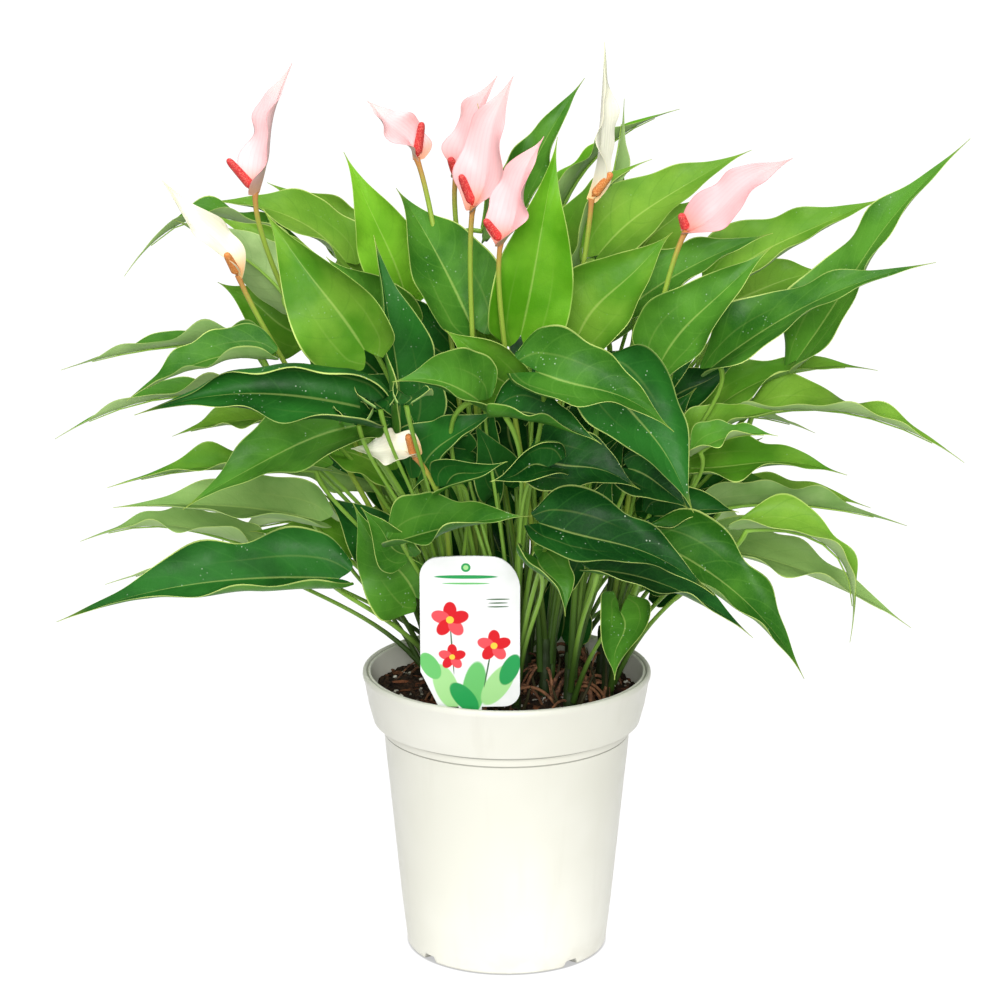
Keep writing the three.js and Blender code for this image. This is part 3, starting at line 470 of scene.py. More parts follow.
# %% The outline of a blade
LEAF_FORM = {"outline": (0.5, 3.3, 2.0), "lobe": 0.14, "round": 0.5}
HEART_FORM = {"outline": (0.66, 3.6, 2.2), "lobe": 0.28, "round": 0.5}
SPATHE_FORM = {"outline": (0.2, 2.2, 1.6), "lobe": 0.05, "round": 0.0}
ROUND_END = 0.09


def outline_share(t, form):
    """The share of the full width at t: (b + s t)(1 - t)^p over its own peak, less a rounding near
    the base that falls from `round` to 0 as (1 - t / 0.09)^2."""
    b, s, p = form["outline"]
    peak = (s - p * b) / (s * (p + 1))
    share = (b + s * t) * (1 - t) ** p / ((b + s * peak) * (1 - peak) ** p)
    return share * (1 - form["round"] * np.clip(1 - t / ROUND_END, 0, 1) ** 2)


for title, form in (("leaf", LEAF_FORM), ("heart", HEART_FORM), ("spathe", SPATHE_FORM)):
    print(title, "width at a tenth:", round(float(outline_share(0.1, form)), 2))

# %% [markdown]
# ## The bend of a blade
# Half blades turn up from the midrib by a fold, turn further towards the margin by a curl, and some
# roll right over near it. The turn differs from place to place, so the half blade is laid out in
# small steps: each step goes outwards by the cosine of its turn and upwards by its sine, and the
# steps are added up. That keeps its width, which a plain shift of points would stretch.

# %% The bend of a blade
LOBE_TURN = 2.1
ROLL_START, ROLL_FADE = 0.45, 0.7
CUP_END = 0.4
WAVES = 2
RIPPLES = ((2.7, 0.7), (4.3, 0.45))
TIP_HALF = 0.15


def half_blade(leaf, hand, t, u):
    """The half blade on one hand (-1 left, 1 right), for t along and u from the midrib to the margin:
    how far out, up and back it is, and its turn.
    Turn: fold + cup (1 - t / 0.4)^2 + curl u + roll S(u) (1 - t)^0.7.
    Waves: wave u^2 sin(4 pi t), and two faster ripples that grow with u^3.
    Back: lobe width sin(2.1 u) (1 - t)^3."""
    number = 0 if hand < 0 else 1
    turn = leaf["fold"] + leaf["cup"] * np.clip(1 - t / CUP_END, 0, 1) ** 2 + leaf["curl"][number] * u
    turn = np.radians(turn + leaf["roll"][number] * smooth_step(ROLL_START, 1, u) * (1 - t) ** ROLL_FADE)
    middle = (turn[:, 1:] + turn[:, :-1]) / 2
    start = np.zeros_like(t)
    out = np.concatenate([start, np.cumsum(np.cos(middle) * np.diff(u), 1)], 1)
    rise = np.concatenate([start, np.cumsum(np.sin(middle) * np.diff(u), 1)], 1)
    share = outline_share(t, leaf["form"])
    half = leaf["width"] / 2 * share + TIP_HALF
    wave = leaf["wave"] * u ** 2 * np.sin(2 * math.pi * WAVES * t + hand)
    for number, (turns, size) in enumerate(RIPPLES):
        phase = leaf["phase"] * (number + 1) + 2 * hand
        wave = wave + leaf["ripple"] * size * u ** 3 * np.sin(2 * math.pi * turns * t + phase)
    back = leaf["form"]["lobe"] * leaf["width"] * np.sin(LOBE_TURN * u) * (1 - t) ** 3
    return hand * out * half, rise * half + wave * share, back, hand * turn


print("ripples in a margin:", len(RIPPLES))

# %% [markdown]
# ## The relief of a blade
# The skin sinks along the veins and swells between them. A bump in the material would do for a far
# view, but the mesh should have it too, so the same vein lines are worked out once more as
# a height.

# %% The relief of a blade
SWELL, SWELL_LEVEL = 0.008, 0.6
RIB_GROOVE, RIB_HALF_WIDTH = 0.5, 1.5
LONG_GROOVE, LONG_HALF_WIDTH = 0.15, 0.07


def vein_relief(t, v, width):
    """Height in mm, for v from -1 at the left margin to 1 at the right one: swells of 0.008 width
    between the side veins, less a bell-shaped groove at the midrib and one at each long vein."""
    count = VEIN_PAIRS * (t - VEIN_SLOPE * np.abs(v) ** VEIN_BOW)
    swell = np.sin(math.pi * np.abs(count - np.round(count))) - SWELL_LEVEL
    fade = (1 - np.abs(v) ** 3) * np.sqrt(1 - t) * smooth_step(0.03, 0.25, np.abs(v))
    rib = RIB_GROOVE * np.exp(-(v * width / 2 / RIB_HALF_WIDTH) ** 2) * (1 - t)
    from_long = (np.abs(v) - LONG_VEIN) / LONG_HALF_WIDTH
    beside = LONG_GROOVE * np.exp(-from_long ** 2) * (1 - smooth_step(0.2, 0.8, t))
    return SWELL * width * fade * swell - rib - beside


print("relief at the midrib:", round(float(vein_relief(0.3, 0.0, 50)), 2), "mm")

# %% [markdown]
# ## The blade as a closed sheet
# A blade is modelled with both skins and a thin margin wall, as a real leaf has, and not as a plane.
# The wall runs once round the border of the grid. The plant label is such a sheet too.

# %% The blade as a closed sheet
def sheet_faces(rows, columns):
    """Quads of an upper and a lower grid, and the wall that joins their borders."""
    upper = grid_faces(rows, columns)
    under = rows * columns
    numbers = np.arange(under).reshape(rows, columns)
    border = np.concatenate([numbers[0], numbers[1:, -1], numbers[-1, -2::-1], numbers[-2:0:-1, 0]])
    beside = np.roll(border, -1)
    wall = np.stack([beside, border, border + under, beside + under], -1)
    return upper, upper[:, ::-1] + under, wall


print("faces in the wall of a 3 by 4 sheet:", len(sheet_faces(3, 4)[2]))

# %% [markdown]
# ## The blade
# All the formulas meet here. The leaves of the table get a fine grid, and the inner ones in the shade
# a plain one, which saves most of the triangles where nobody looks.

# %% The blade
ROW_CROWDING, COLUMN_CROWDING = 1.15, 0.85
MARGIN_HALF, TIP_THINNING = 0.12, 0.6


def blade_grid(rows, half_columns):
    """Shares along (row^1.15, so that rows stand closer at the base, where the lobes bend quickly) and
    across (column^0.85, closer at the margin, where the roll is tight), and the faces of the sheet."""
    t = np.linspace(0, 1, rows)[:, None] ** ROW_CROWDING
    u = np.linspace(0, 1, half_columns)[None] ** COLUMN_CROWDING
    groups = sheet_faces(rows, 2 * half_columns - 1)
    return {"t": t, "u": u, "faces": np.concatenate(groups), "counts": [len(group) for group in groups]}


FINE_GRID = blade_grid(50, 13)
PLAIN_GRID = blade_grid(24, 6)


def blade_patch(leaf, upper, lower, relief=1.0, half_thickness=0.3, grid=FINE_GRID):
    """A blade as one patch: its surface is shifted along its normal by the relief, and half the
    thickness up and down. That half is full at the midrib. It falls by a sixth power to 0.12 at the
    margin, and by another to 0.4 of itself at the tip."""
    t, u = grid["t"], grid["u"]
    left, right = half_blade(leaf, -1, t, u), half_blade(leaf, 1, t, u)
    sideways, upwards, back, turn = (np.concatenate([a[:, ::-1], b[:, 1:]], 1) for a, b in zip(left, right))
    v = np.concatenate([-u[:, ::-1], u[:, 1:]], 1) + 0 * t
    t = t + 0 * v
    centre, along, side, up = (d[:, None] for d in blade_frame(leaf, grid["t"][:, 0]))
    surface = centre - back[..., None] * along + sideways[..., None] * side + upwards[..., None] * up
    normal = np.cos(turn)[..., None] * up - np.sin(turn)[..., None] * side
    skin = relief * vein_relief(t, v, leaf["width"])
    half = (MARGIN_HALF + (half_thickness - MARGIN_HALF) * (1 - v ** 6)) * (1 - TIP_THINNING * t ** 6)
    upper_skin = surface + (skin + half)[..., None] * normal
    lower_skin = surface + (skin - half)[..., None] * normal
    points = np.concatenate([upper_skin, lower_skin])
    marks = np.stack([(v + 1) / 2, t], -1)
    materials = np.repeat([upper, lower, upper], grid["counts"])
    return patch(points, np.concatenate([marks, marks]), grid["faces"], materials, leaf["tone"])


print("faces in a blade:", sum(FINE_GRID["counts"]))

# %% [markdown]
# ## Stalks
# A stalk is a tube carried along a path. Its ring needs two directions square to the path. They
# come from one steady helper direction, chosen out of seven so that no part of the path runs along
# it, and the tube then never twists or pinches.

# %% Stalks
def bezier(points, t):
    """A cubic curve through four control points: the weights are those of (1 - t + t)^3."""
    t = np.asarray(t, float)[:, None]
    a, b, c, d = (np.array(p, float) for p in points)
    return (1 - t) ** 3 * a + 3 * t * (1 - t) ** 2 * b + 3 * t ** 2 * (1 - t) * c + t ** 3 * d


HELPERS = unit(np.array([
    [1, 0, 0], [0, 1, 0], [0, 0, 1], [1, 1, 1], [1, 1, -1], [1, -1, 1], [-1, 1, 1],
], float))
END_RADIUS = 0.01


def tube_patch(path, radii, sides, material, tone=0.5):
    """A closed tube: rings path + radius (cos a first + sin a second), where first and second are
    square to the path, with each end drawn together to a tiny ring."""
    ahead = unit(np.gradient(path, axis=0))
    helper = HELPERS[np.argmin(np.abs(ahead @ HELPERS.T).max(0))]
    first = unit(np.cross(ahead, helper))
    second = np.cross(ahead, first)
    angle = np.linspace(0, 2 * math.pi, sides, endpoint=False)
    radii = np.concatenate([[END_RADIUS], np.broadcast_to(radii, len(path)), [END_RADIUS]])
    path = np.concatenate([path[:1], path, path[-1:]])
    first, second = (np.concatenate([d[:1], d, d[-1:]]) for d in (first, second))
    ring = np.cos(angle)[None, :, None] * first[:, None] + np.sin(angle)[None, :, None] * second[:, None]
    points = path[:, None] + radii[:, None, None] * ring
    along = np.linspace(0, 1, len(path))
    marks = np.stack(np.broadcast_arrays(angle[None] / (2 * math.pi), along[:, None]), -1)
    return patch(points, marks, grid_faces(len(path), sides, closed=True), material, tone)


print("helper directions:", len(HELPERS))

# %% [markdown]
# ## The shoots
# Twelve clumps of leaves stand in the soil, and a row of this table is one leaf: base of the blade,
# tip, the way its face looks, width, arch, fold, curls of the left and the right half, height of the
# waves, and its finish. The sizes are those of the solids. Leaves could be scattered by chance, but
# then the plant would not be this one, so the rows place each leaf that can be told apart. Some have
# a last entry with what is special about them: `tone` is how light it is in its pair of greens, set
# partly as painted light and shade, and `bow` pushes its stalk aside, clear of the plant label.

# %% The shoots
SHOOTS = {
    "front_left": {"foot": (-26, -22), "blooms": ["left_low"], "leaves": [
        [(-70, -58, 331), (-119, -52, 400), (-1, -9, 3), 52, 6, 12, (10, 60), 3, "bright"],
        [(-65, -90, 308), (-180, -92, 306), (0, -5, 8), 62, 13, 8, (20, 170), 4, "deep",
         {"ripple": 5, "phase": 1.0, "tone": 0.6, "back": "deep"}],
        [(-68, -80, 299), (-157, -100, 261), (-1, -6, 7), 50, 8, 12, (30, 20), 3, "mid"],
        [(-54, -78, 239), (12, -97, 257), (0, -4, 8), 40, 3, 14, (60, 40), 4, "mid", {"bow": (-14, 9, 0)}],
        [(-84, -60, 215), (-225, -62, 193), (0, -5, 8), 50, 12, 16, (20, 20), 4, "deep", {"tone": 0.8}],
        [(-46, -42, 200), (-77, -46, 250), (-3, -8, 3), 45, 5, 14, (25, 25), 3, "mid"],
        [(-50, -66, 229), (-72, -72, 255), (-4, -8, 4), 24, 3, 14, (40, 20), 2, "mid"],
        [(-30, -78, 267), (0, -84, 281), (0, -8, 4), 27, 4, 30, (50, 60), 2, "deep", {"tone": 0.9}],
    ]},
    "left": {"foot": (-38, 4), "blooms": ["left_high", "left_cream"], "leaves": [
        [(-118, -50, 326), (-188, -52, 304), (-1, -3, 8), 36, 8, 12, (20, 30), 3, "mid"],
        [(-116, 0, 292), (-231, 0, 272), (0, 1, 8), 32, 12, 16, (20, 20), 3, "mid", {"tone": 0.9}],
        [(-111, 10, 277), (-172, 10, 271), (-1, -2, 8), 36, 5, 12, (20, 20), 2, "bright"],
        [(-93, -30, 264), (-201, -34, 255), (0, -1, 7), 38, 6, 14, (20, 20), 3, "bright"],
        [(-95, -20, 234), (-200, -20, 241), (0, -4, 8), 42, 6, 14, (30, 20), 3, "soft"],
        [(-131, 10, 213), (-221, 10, 215), (0, -1, 8), 36, 10, 12, (30, 20), 3, "soft", {"tone": 0.9}],
        [(-81, 4, 208), (-133, 8, 221), (0, -4, 8), 34, 5, 12, (20, 20), 2, "bright"],
        [(-62, -10, 258), (-104, -8, 271), (0, -5, 7), 40, 5, 12, (20, 20), 2, "bright"],
    ]},
    "left_back": {"foot": (-25, 31), "blooms": [], "leaves": [
        [(-108, 60, 349), (-200, 60, 345), (0, 0, 1), 35, 30, 14, (20, 20), 3, "mid", {"tone": 0.9}],
        [(-111, 20, 340), (-170, 20, 382), (-5, 6, 6), 36, 10, 14, (20, 20), 3, "mid", {"tone": 0.9}],
        [(-101, 46, 343), (-153, 48, 380), (-3, -4, 6), 27, 8, 12, (20, 20), 2, "bright"],
        [(-128, 30, 316), (-231, 32, 301), (0, 1, 8), 30, 5, 14, (20, 20), 3, "mid"],
        [(-108, 64, 313), (-152, 70, 340), (-2, -7, 4), 36, 6, 12, (20, 20), 2, "bright", {"tone": 0.2}],
        [(-62, 36, 241), (-132, 40, 243), (0, -5, 7), 38, 6, 12, (20, 20), 3, "soft"],
        [(-109, 40, 201), (-213, 44, 182), (0, 1, 8), 30, 4, 12, (20, 20), 3, "soft", {"tone": 0.9}],
    ]},
    "back_left": {"foot": (-3, 46), "blooms": [], "leaves": [
        [(-85, 80, 349), (-158, 85, 380), (0, -3, 8), 45, 12, 12, (20, 20), 3, "bright", {"tone": 0.8}],
        [(-71, 100, 344), (-128, 112, 386), (-2, -4, 6), 36, 8, 12, (20, 20), 2, "bright", {"tone": 0.9}],
        [(-74, 60, 206), (-158, 104, 188), (-1, 3, 8), 46, 10, 12, (20, 20), 3, "bright"],
        [(-60, 76, 262), (-140, 124, 252), (-1, 2, 8), 46, 10, 12, (20, 20), 3, "mid"],
        [(-38, 88, 232), (-78, 176, 214), (-1, 3, 8), 48, 12, 12, (20, 20), 3, "mid"],
        [(-30, 84, 290), (-64, 168, 292), (-1, 2, 8), 48, 12, 12, (20, 20), 3, "bright"],
        [(-30, 86, 330), (-64, 156, 342), (-1, 2, 7), 42, 10, 12, (20, 20), 3, "bright"],
        [(8, 92, 205), (10, 186, 184), (0, 3, 8), 46, 12, 12, (20, 20), 3, "bright"],
    ]},
    "back_right": {"foot": (34, 43), "blooms": [], "leaves": [
        [(72, 104, 350), (102, 110, 378), (0, -7, 5), 36, 4, 12, (20, 20), 2, "bright", {"tone": 0.9}],
        [(118, 66, 330), (170, 74, 345), (0, -6, 6), 40, 5, 12, (20, 20), 2, "bright", {"tone": 0.9}],
        [(110, 38, 226), (192, 44, 224), (0, -2, 8), 34, 8, 12, (20, 20), 3, "bright", {"tone": 0.9}],
        [(66, 62, 205), (146, 118, 186), (1, 3, 8), 46, 10, 12, (20, 20), 3, "mid"],
        [(42, 86, 240), (92, 166, 226), (1, 3, 8), 48, 12, 12, (20, 20), 3, "bright"],
        [(76, 54, 262), (166, 88, 254), (1, 2, 8), 44, 10, 12, (20, 20), 3, "mid"],
        [(22, 86, 284), (38, 178, 280), (0, 2, 8), 50, 12, 12, (20, 20), 3, "deep"],
        [(52, 84, 306), (106, 140, 314), (2, 1, 7), 44, 10, 12, (20, 20), 3, "bright"],
    ]},
    "right": {"foot": (50, 14), "blooms": [], "leaves": [
        [(108, 42, 340), (197, 46, 389), (-3, -5, 7), 44, 8, 12, (20, 20), 3, "bright"],
        [(148, 10, 311), (233, 10, 425), (-6, -5, 5), 42, 8, 14, (20, 20), 4, "mid", {"tone": 0.8}],
        [(99, 20, 275), (191, 22, 303), (-2, -2, 8), 36, 14, 12, (20, 20), 3, "bright"],
        [(121, 0, 284), (234, -2, 260), (0, -1, 8), 36, 14, 14, (20, 20), 4, "bright", {"tone": 0.9}],
        [(94, 14, 240), (136, 16, 246), (0, -5, 7), 36, 4, 12, (20, 20), 2, "mid", {"tone": 0.9}],
        [(99, -2, 234), (206, 0, 226), (0, 5, 7), 36, 8, 12, (20, 20), 3, "soft"],
        [(102, -4, 216), (209, -6, 173), (2, -2, 8), 40, 8, 12, (20, 20), 3, "soft", {"tone": 0.9}],
    ]},
    "right_front": {"foot": (52, -13), "blooms": ["right_pink"], "leaves": [
        [(77, -30, 319), (131, -34, 378), (-2, -7, 5), 46, 6, 14, (20, 20), 3, "mid", {"tone": 0.7}],
        [(102, -30, 316), (212, -34, 370), (-2, -4, 8), 38, 10, 12, (20, 20), 3, "mid"],
        [(92, -18, 275), (139, -22, 292), (0, -3, 8), 30, 4, 12, (20, 20), 2, "bright"],
        [(94, -52, 278), (134, -56, 287), (0, -2, 8), 24, 5, 12, (40, 30), 3, "mid", {"tone": 0.9}],
        [(93, -22, 262), (172, -24, 259), (0, -3, 8), 38, 6, 12, (20, 20), 3, "bright", {"tone": 0.1}],
        [(74, -44, 243), (116, -48, 246), (0, -7, 6), 38, 4, 24, (50, 50), 2, "deep"],
        [(116, -46, 237), (173, -48, 178), (7, -1, 7), 34, 27, 14, (20, 20), 3, "bright"],
        [(71, -64, 236), (148, -74, 167), (4, -6, 6), 46, 14, 12, (20, 20), 3, "mid"],
    ]},
    "front_right": {"foot": (32, -33), "blooms": [], "leaves": [
        [(48, -72, 322), (90, -102, 260), (3, -8, 3), 56, 8, 14, (20, 20), 4, "deep", {"tone": 0.8}],
        [(60, -58, 271), (90, -66, 252), (0, -6, 6), 36, 4, 12, (20, 20), 2, "deep"],
        [(41, -108, 233), (119, -112, 200), (1, -2, 8), 42, 8, 12, (20, 20), 3, "deep", {"tone": 0.1}],
        [(56, -76, 202), (53, -88, 171), (0, -8, 3), 34, 4, 14, (50, 50), 2, "mid", {"form": HEART_FORM}],
    ]},
    "front": {"foot": (4, -36), "blooms": [], "leaves": [
        [(15, -118, 333), (79, -122, 305), (1, -6, 7), 48, 8, 12, (60, 20), 3, "mid",
         {"form": HEART_FORM, "tone": 0.2}],
        [(-3, -96, 307), (45, -114, 297), (1, -5, 7), 36, 6, 12, (60, 60), 3, "deep", {"tone": 0.4}],
        [(16, -70, 280), (65, -80, 266), (0, -7, 6), 42, 6, 12, (20, 20), 2, "deep", {"tone": 0.1}],
        [(16, -118, 259), (99, -128, 226), (2, -6, 7), 44, 10, 14, (20, 20), 4, "deep", {"tone": 0.05}],
        [(15, -100, 236), (28, -116, 212), (4, -6, 5), 32, 6, 14, (30, 30), 2, "mid",
         {"form": HEART_FORM, "bow": (12, 0, 0)}],
        [(19, -100, 282), (-8, -104, 276), (0, -7, 4), 34, 3, 30, (40, 40), 2, "deep",
         {"form": HEART_FORM, "tone": 0.1}],
    ]},
    "centre_left": {"foot": (-10, -6), "blooms": ["middle_left", "middle_large"], "leaves": [
        [(-59, 30, 322), (-93, 35, 360), (0, -8, 4), 45, 6, 12, (20, 60), 2, "mid", {"tone": 0.9}],
        [(-53, 50, 338), (-84, 50, 412), (2, -8, 1), 44, 5, 20, (20, 20), 3, "lime", {"tone": 0.8}],
        [(-18, 0, 331), (-57, 45, 394), (2, -8, 5), 54, 6, 16, (20, 20), 3, "mid"],
        [(-54, -30, 286), (-66, -30, 383), (5, -7, 1), 46, 4, 30, (20, 20), 3, "deep", {"tone": 0.8}],
        [(-14, -60, 306), (-56, -72, 318), (-2, -6, 7), 45, 8, 14, (50, 40), 2, "mid"],
        [(-44, -38, 262), (-3, -42, 297), (-4, -7, 6), 38, 8, 12, (20, 50), 4, "deep", {"tone": 0.9}],
        [(-1, -32, 309), (-31, -38, 337), (-1, -8, 4), 36, 5, 12, (20, 20), 2, "bright"],
    ]},
    "centre_right": {"foot": (20, -8), "blooms": ["middle_right"], "leaves": [
        [(7, -14, 329), (25, -12, 429), (1, -9, 2), 46, 5, 16, (20, 20), 4, "lime"],
        [(36, 8, 323), (84, 12, 377), (-2, -8, 4), 56, 6, 12, (20, 20), 3, "bright", {"tone": 0.4}],
        [(60, 22, 334), (136, 26, 374), (-2, -5, 7), 42, 6, 12, (20, 20), 3, "mid"],
    ]},
    "centre_back": {"foot": (10, 19), "blooms": ["middle_back", "tall_cream"], "leaves": [
        [(-11, 60, 312), (-20, 66, 366), (2, -8, 2), 40, 4, 14, (20, 20), 2, "bright"],
        [(4, 90, 376), (41, 96, 444), (-3, -7, 3), 28, 6, 12, (20, 20), 3, "mid"],
        [(28, 98, 374), (92, 108, 426), (-3, 1, 6), 32, 10, 12, (20, 20), 3, "lime"],
        [(44, 92, 352), (62, 98, 433), (8, 1, 0), 30, 4, 14, (20, 20), 3, "mid"],
        [(38, 48, 352), (75, 52, 408), (-6, -3, 5), 36, 15, 12, (20, 20), 3, "bright"],
        [(48, 72, 354), (128, 76, 409), (-3, -6, 6), 46, 8, 12, (20, 20), 3, "bright"],
        [(-12, 29, 372), (-15, 29, 440), (8, -2, 0), 24, 4, 12, (20, 20), 2, "deep"],
    ]},
}
LEAF_KEYS = ["base", "tip", "face", "width", "arch", "fold", "curl", "wave", "finish"]


def table_leaf(row):
    """A row of the table as named values, with its last entry added if it has one."""
    special = row[-1] if isinstance(row[-1], dict) else {}
    return dict(zip(LEAF_KEYS, row)) | special


for shoot in SHOOTS.values():
    shoot["leaves"] = sorted(map(table_leaf, shoot["leaves"]), key=lambda leaf: leaf["base"][2])
print("leaves:", sum(len(shoot["leaves"]) for shoot in SHOOTS.values()))

# %% [markdown]
# ## The table of blooms
# An anthurium bloom is a coloured leaf, the spathe, around a finger of tiny flowers, the spadix. A
# row gives the top of the stalk, the spathe's tip and facing, its width, arch, fold and curl, the
# spadix's tip and the spathe's colour. The table stands here because the stalks that carry the
# blooms grow with the shoots. The blooms themselves follow further down.

# %% The table of blooms
BLOOM_KEYS = ["seat", "tip", "face", "width", "arch", "fold", "curl", "spadix", "colour"]
BLOOM_ROWS = {
    "left_high": [(-124, -30, 405), (-105, -30, 468), (-8, -5, 2), 26, 3, 18, 30, (-137, -37, 422), "pink"],
    "left_cream": [(-135, -10, 359), (-172, -10, 407), (3, -7, 3), 22, 3, 24, 40, (-140, -20, 372), "cream"],
    "middle_left": [(-46, 30, 412), (-71, 32, 441), (6, -6, 3), 24, 3, 16, 20, (-43, 26, 431), "pink"],
    "middle_back": [(-26, 42, 402), (-5, 44, 452), (-6, -6, 2), 24, 3, 18, 20, (-29, 36, 411), "pink"],
    "middle_large": [(-17, -10, 394), (3, -10, 459), (-5, -8, 2), 30, 4, 16, 20, (-23, -17, 411), "pink"],
    "middle_right": [(-3, -36, 381), (18, -36, 433), (-6, -7, 3), 28, 3, 18, 30, (-11, -43, 393), "pink"],
    "tall_cream": [(43, 20, 393), (49, 22, 472), (8, -4, 1), 20, 3, 20, 20, (53, 14, 407), "cream"],
    "right_pink": [(89, -22, 384), (141, -22, 420), (-3, -7, 5), 26, 4, 14, 20, (86, -27, 393), "pink"],
    "left_low": [(-45, -78, 282), (-76, -82, 287), (0, -6, 7), 22, 2, 16, 20, (-48, -91, 296), "cream"],
}
BLOOMS = {name: dict(zip(BLOOM_KEYS, row)) for name, row in BLOOM_ROWS.items()}
print("blooms:", len(BLOOMS))

# %% [markdown]
# ## Leaf stalks
# A leaf stalk climbs out of the shoot, leans over and meets the blade from below, where it swells.
# It then runs on under the blade as the raised midrib, thinner and thinner. Stalk and midrib could be
# two tubes, but then every bend would need its own join, and one tube never shows a gap.

# %% Leaf stalks
SOIL_TOP = 138
NODE_LOW, NODE_HIGH = 5, 28
SPREAD_LOW, SPREAD_HIGH = 4, 1
PETIOLE_RISE, PETIOLE_REACH_LOW, PETIOLE_REACH_HIGH = 0.6, 0.35, 0.08
PETIOLE_LANDING, PETIOLE_UNDER = 0.2, 0.22
LANDING_T, UNDER_BLADE = 0.03, 1.4
STALK_STEPS, STALK_SIDES = 20, 8
LEAST_SIZE, WIDTH_PER_SIZE = 0.85, 80
MIDDLE_RADIUS, FOOT_SWELL, END_SWELL = 0.82, 0.5, 0.3
RIB_T = np.array([0.06, 0.12, 0.2, 0.3, 0.42, 0.55, 0.7, 0.84])
RIB_THICK, RIB_THIN, RIB_GAP = 0.8, 0.2, 0.4


def petiole_patch(foot, leaf, node):
    """The stalk of a leaf that leaves its stem at share `node` of its height, and the rib under its
    blade. Size: 0.85 + width / 80. Radius at share s of the stalk: size times 0.82 + 0.5 (1 - s)^5,
    and 0.3 more just under the blade. The rib falls evenly from 0.8 to 0.2 of the size."""
    up = blade_frame(leaf, 0)[3]
    landing = blade_frame(leaf, LANDING_T)[0] - UNDER_BLADE * up
    bearing = math.atan2(landing[1] - foot[1], landing[0] - foot[0])
    spread = SPREAD_LOW + (SPREAD_HIGH - SPREAD_LOW) * node
    height = SOIL_TOP + NODE_LOW + (NODE_HIGH - NODE_LOW) * node
    start = np.array([foot[0] + spread * math.cos(bearing), foot[1] + spread * math.sin(bearing), height])
    reach = PETIOLE_REACH_LOW + (PETIOLE_REACH_HIGH - PETIOLE_REACH_LOW) * node
    run = landing - start
    flat = run * (1, 1, 0)
    first = start + reach * flat + (0, 0, PETIOLE_RISE * run[2])
    second = landing - PETIOLE_LANDING * flat - PETIOLE_UNDER * np.linalg.norm(run) * up + leaf["bow"]
    share = np.linspace(0, 1, STALK_STEPS)
    stalk = bezier([start, first, second, landing], share)
    centre, _, _, rib_up = blade_frame(leaf, RIB_T)
    size = LEAST_SIZE + leaf["width"] / WIDTH_PER_SIZE
    swell = MIDDLE_RADIUS + FOOT_SWELL * (1 - share) ** 5 + END_SWELL * smooth_step(0.8, 0.97, share)
    girth = size * swell
    rib = size * np.linspace(RIB_THICK, RIB_THIN, len(RIB_T))
    path = np.concatenate([stalk, centre - (rib[:, None] + RIB_GAP) * rib_up])
    return tube_patch(path, np.concatenate([girth, rib]), STALK_SIDES, PETIOLE, leaf["tone"])


print("steps along a leaf stalk:", STALK_STEPS + len(RIB_T))

# %% [markdown]
# ## Bloom stalks
# A bloom stalk climbs straighter than a leaf stalk, starts near the top of the stem, and ends along
# the way its bloom stands. It could be a leaf stalk without a blade, but it is thicker and rounder,
# so it gets more sides and a curve of its own.

# %% Bloom stalks
STEM_RISE = 30
PEDUNCLE_RISE, PEDUNCLE_REACH, PEDUNCLE_LANDING = 0.4, 0.3, 34
PEDUNCLE_RADIUS, PEDUNCLE_FOOT, PEDUNCLE_END = 1.3, 0.3, 0.4
PEDUNCLE_STEPS, PEDUNCLE_SIDES = 26, 10


def bloom_heading(bloom):
    """The way a bloom stands: between straight up and the direction of its spathe."""
    return unit(unit(np.subtract(bloom["tip"], bloom["seat"])) + (0, 0, 1))


def peduncle_patch(foot, bloom):
    """The stalk of a bloom. Radius at share s: 1.3 + 0.3 (1 - s)^4, and 0.4 more under the bloom."""
    start = np.array([foot[0], foot[1], SOIL_TOP + STEM_RISE - 3], float)
    end = np.array(bloom["seat"], float)
    run = end - start
    first = start + run * (PEDUNCLE_REACH, PEDUNCLE_REACH, PEDUNCLE_RISE)
    second = end - PEDUNCLE_LANDING * bloom_heading(bloom)
    share = np.linspace(0, 1, PEDUNCLE_STEPS)
    path = bezier([start, first, second, end], share)
    foot_swell = PEDUNCLE_FOOT * (1 - share) ** 4
    radii = PEDUNCLE_RADIUS + foot_swell + PEDUNCLE_END * smooth_step(0.95, 1, share)
    return tube_patch(path, radii, PEDUNCLE_SIDES, PEDUNCLE)


print("bloom stalks:", sum(len(shoot["blooms"]) for shoot in SHOOTS.values()))

# %% [markdown]
# ## Stems and sheaths
# A clump stands on a short thick stem with the rings that old leaf bases leave, and dry sheaths stick
# out of the soil around it. They hardly show, but without them the stalks would seem to be stuck
# into the ground like pins.

# %% Stems and sheaths
STEM_DEPTH = 14
STEM_RADIUS, STEM_TAPER, STEM_RINGS, RING_DEPTH = 3.8, 1.8, 6, 0.4
SHEATHS, SHEATH_OUT = 5, 4.5


def stem_patch(foot):
    """A short stem. Radius at share s of its height: 3.8 - 1.8 s + 0.4 |sin(6 pi s)|."""
    share = np.linspace(0, 1, 24)
    height = SOIL_TOP - STEM_DEPTH + share * (STEM_DEPTH + STEM_RISE)
    path = np.stack([foot[0] + 0 * share, foot[1] + 0 * share, height], -1)
    rings = RING_DEPTH * np.abs(np.sin(share * STEM_RINGS * math.pi))
    return tube_patch(path, STEM_RADIUS - STEM_TAPER * share + rings, 14, STEM)


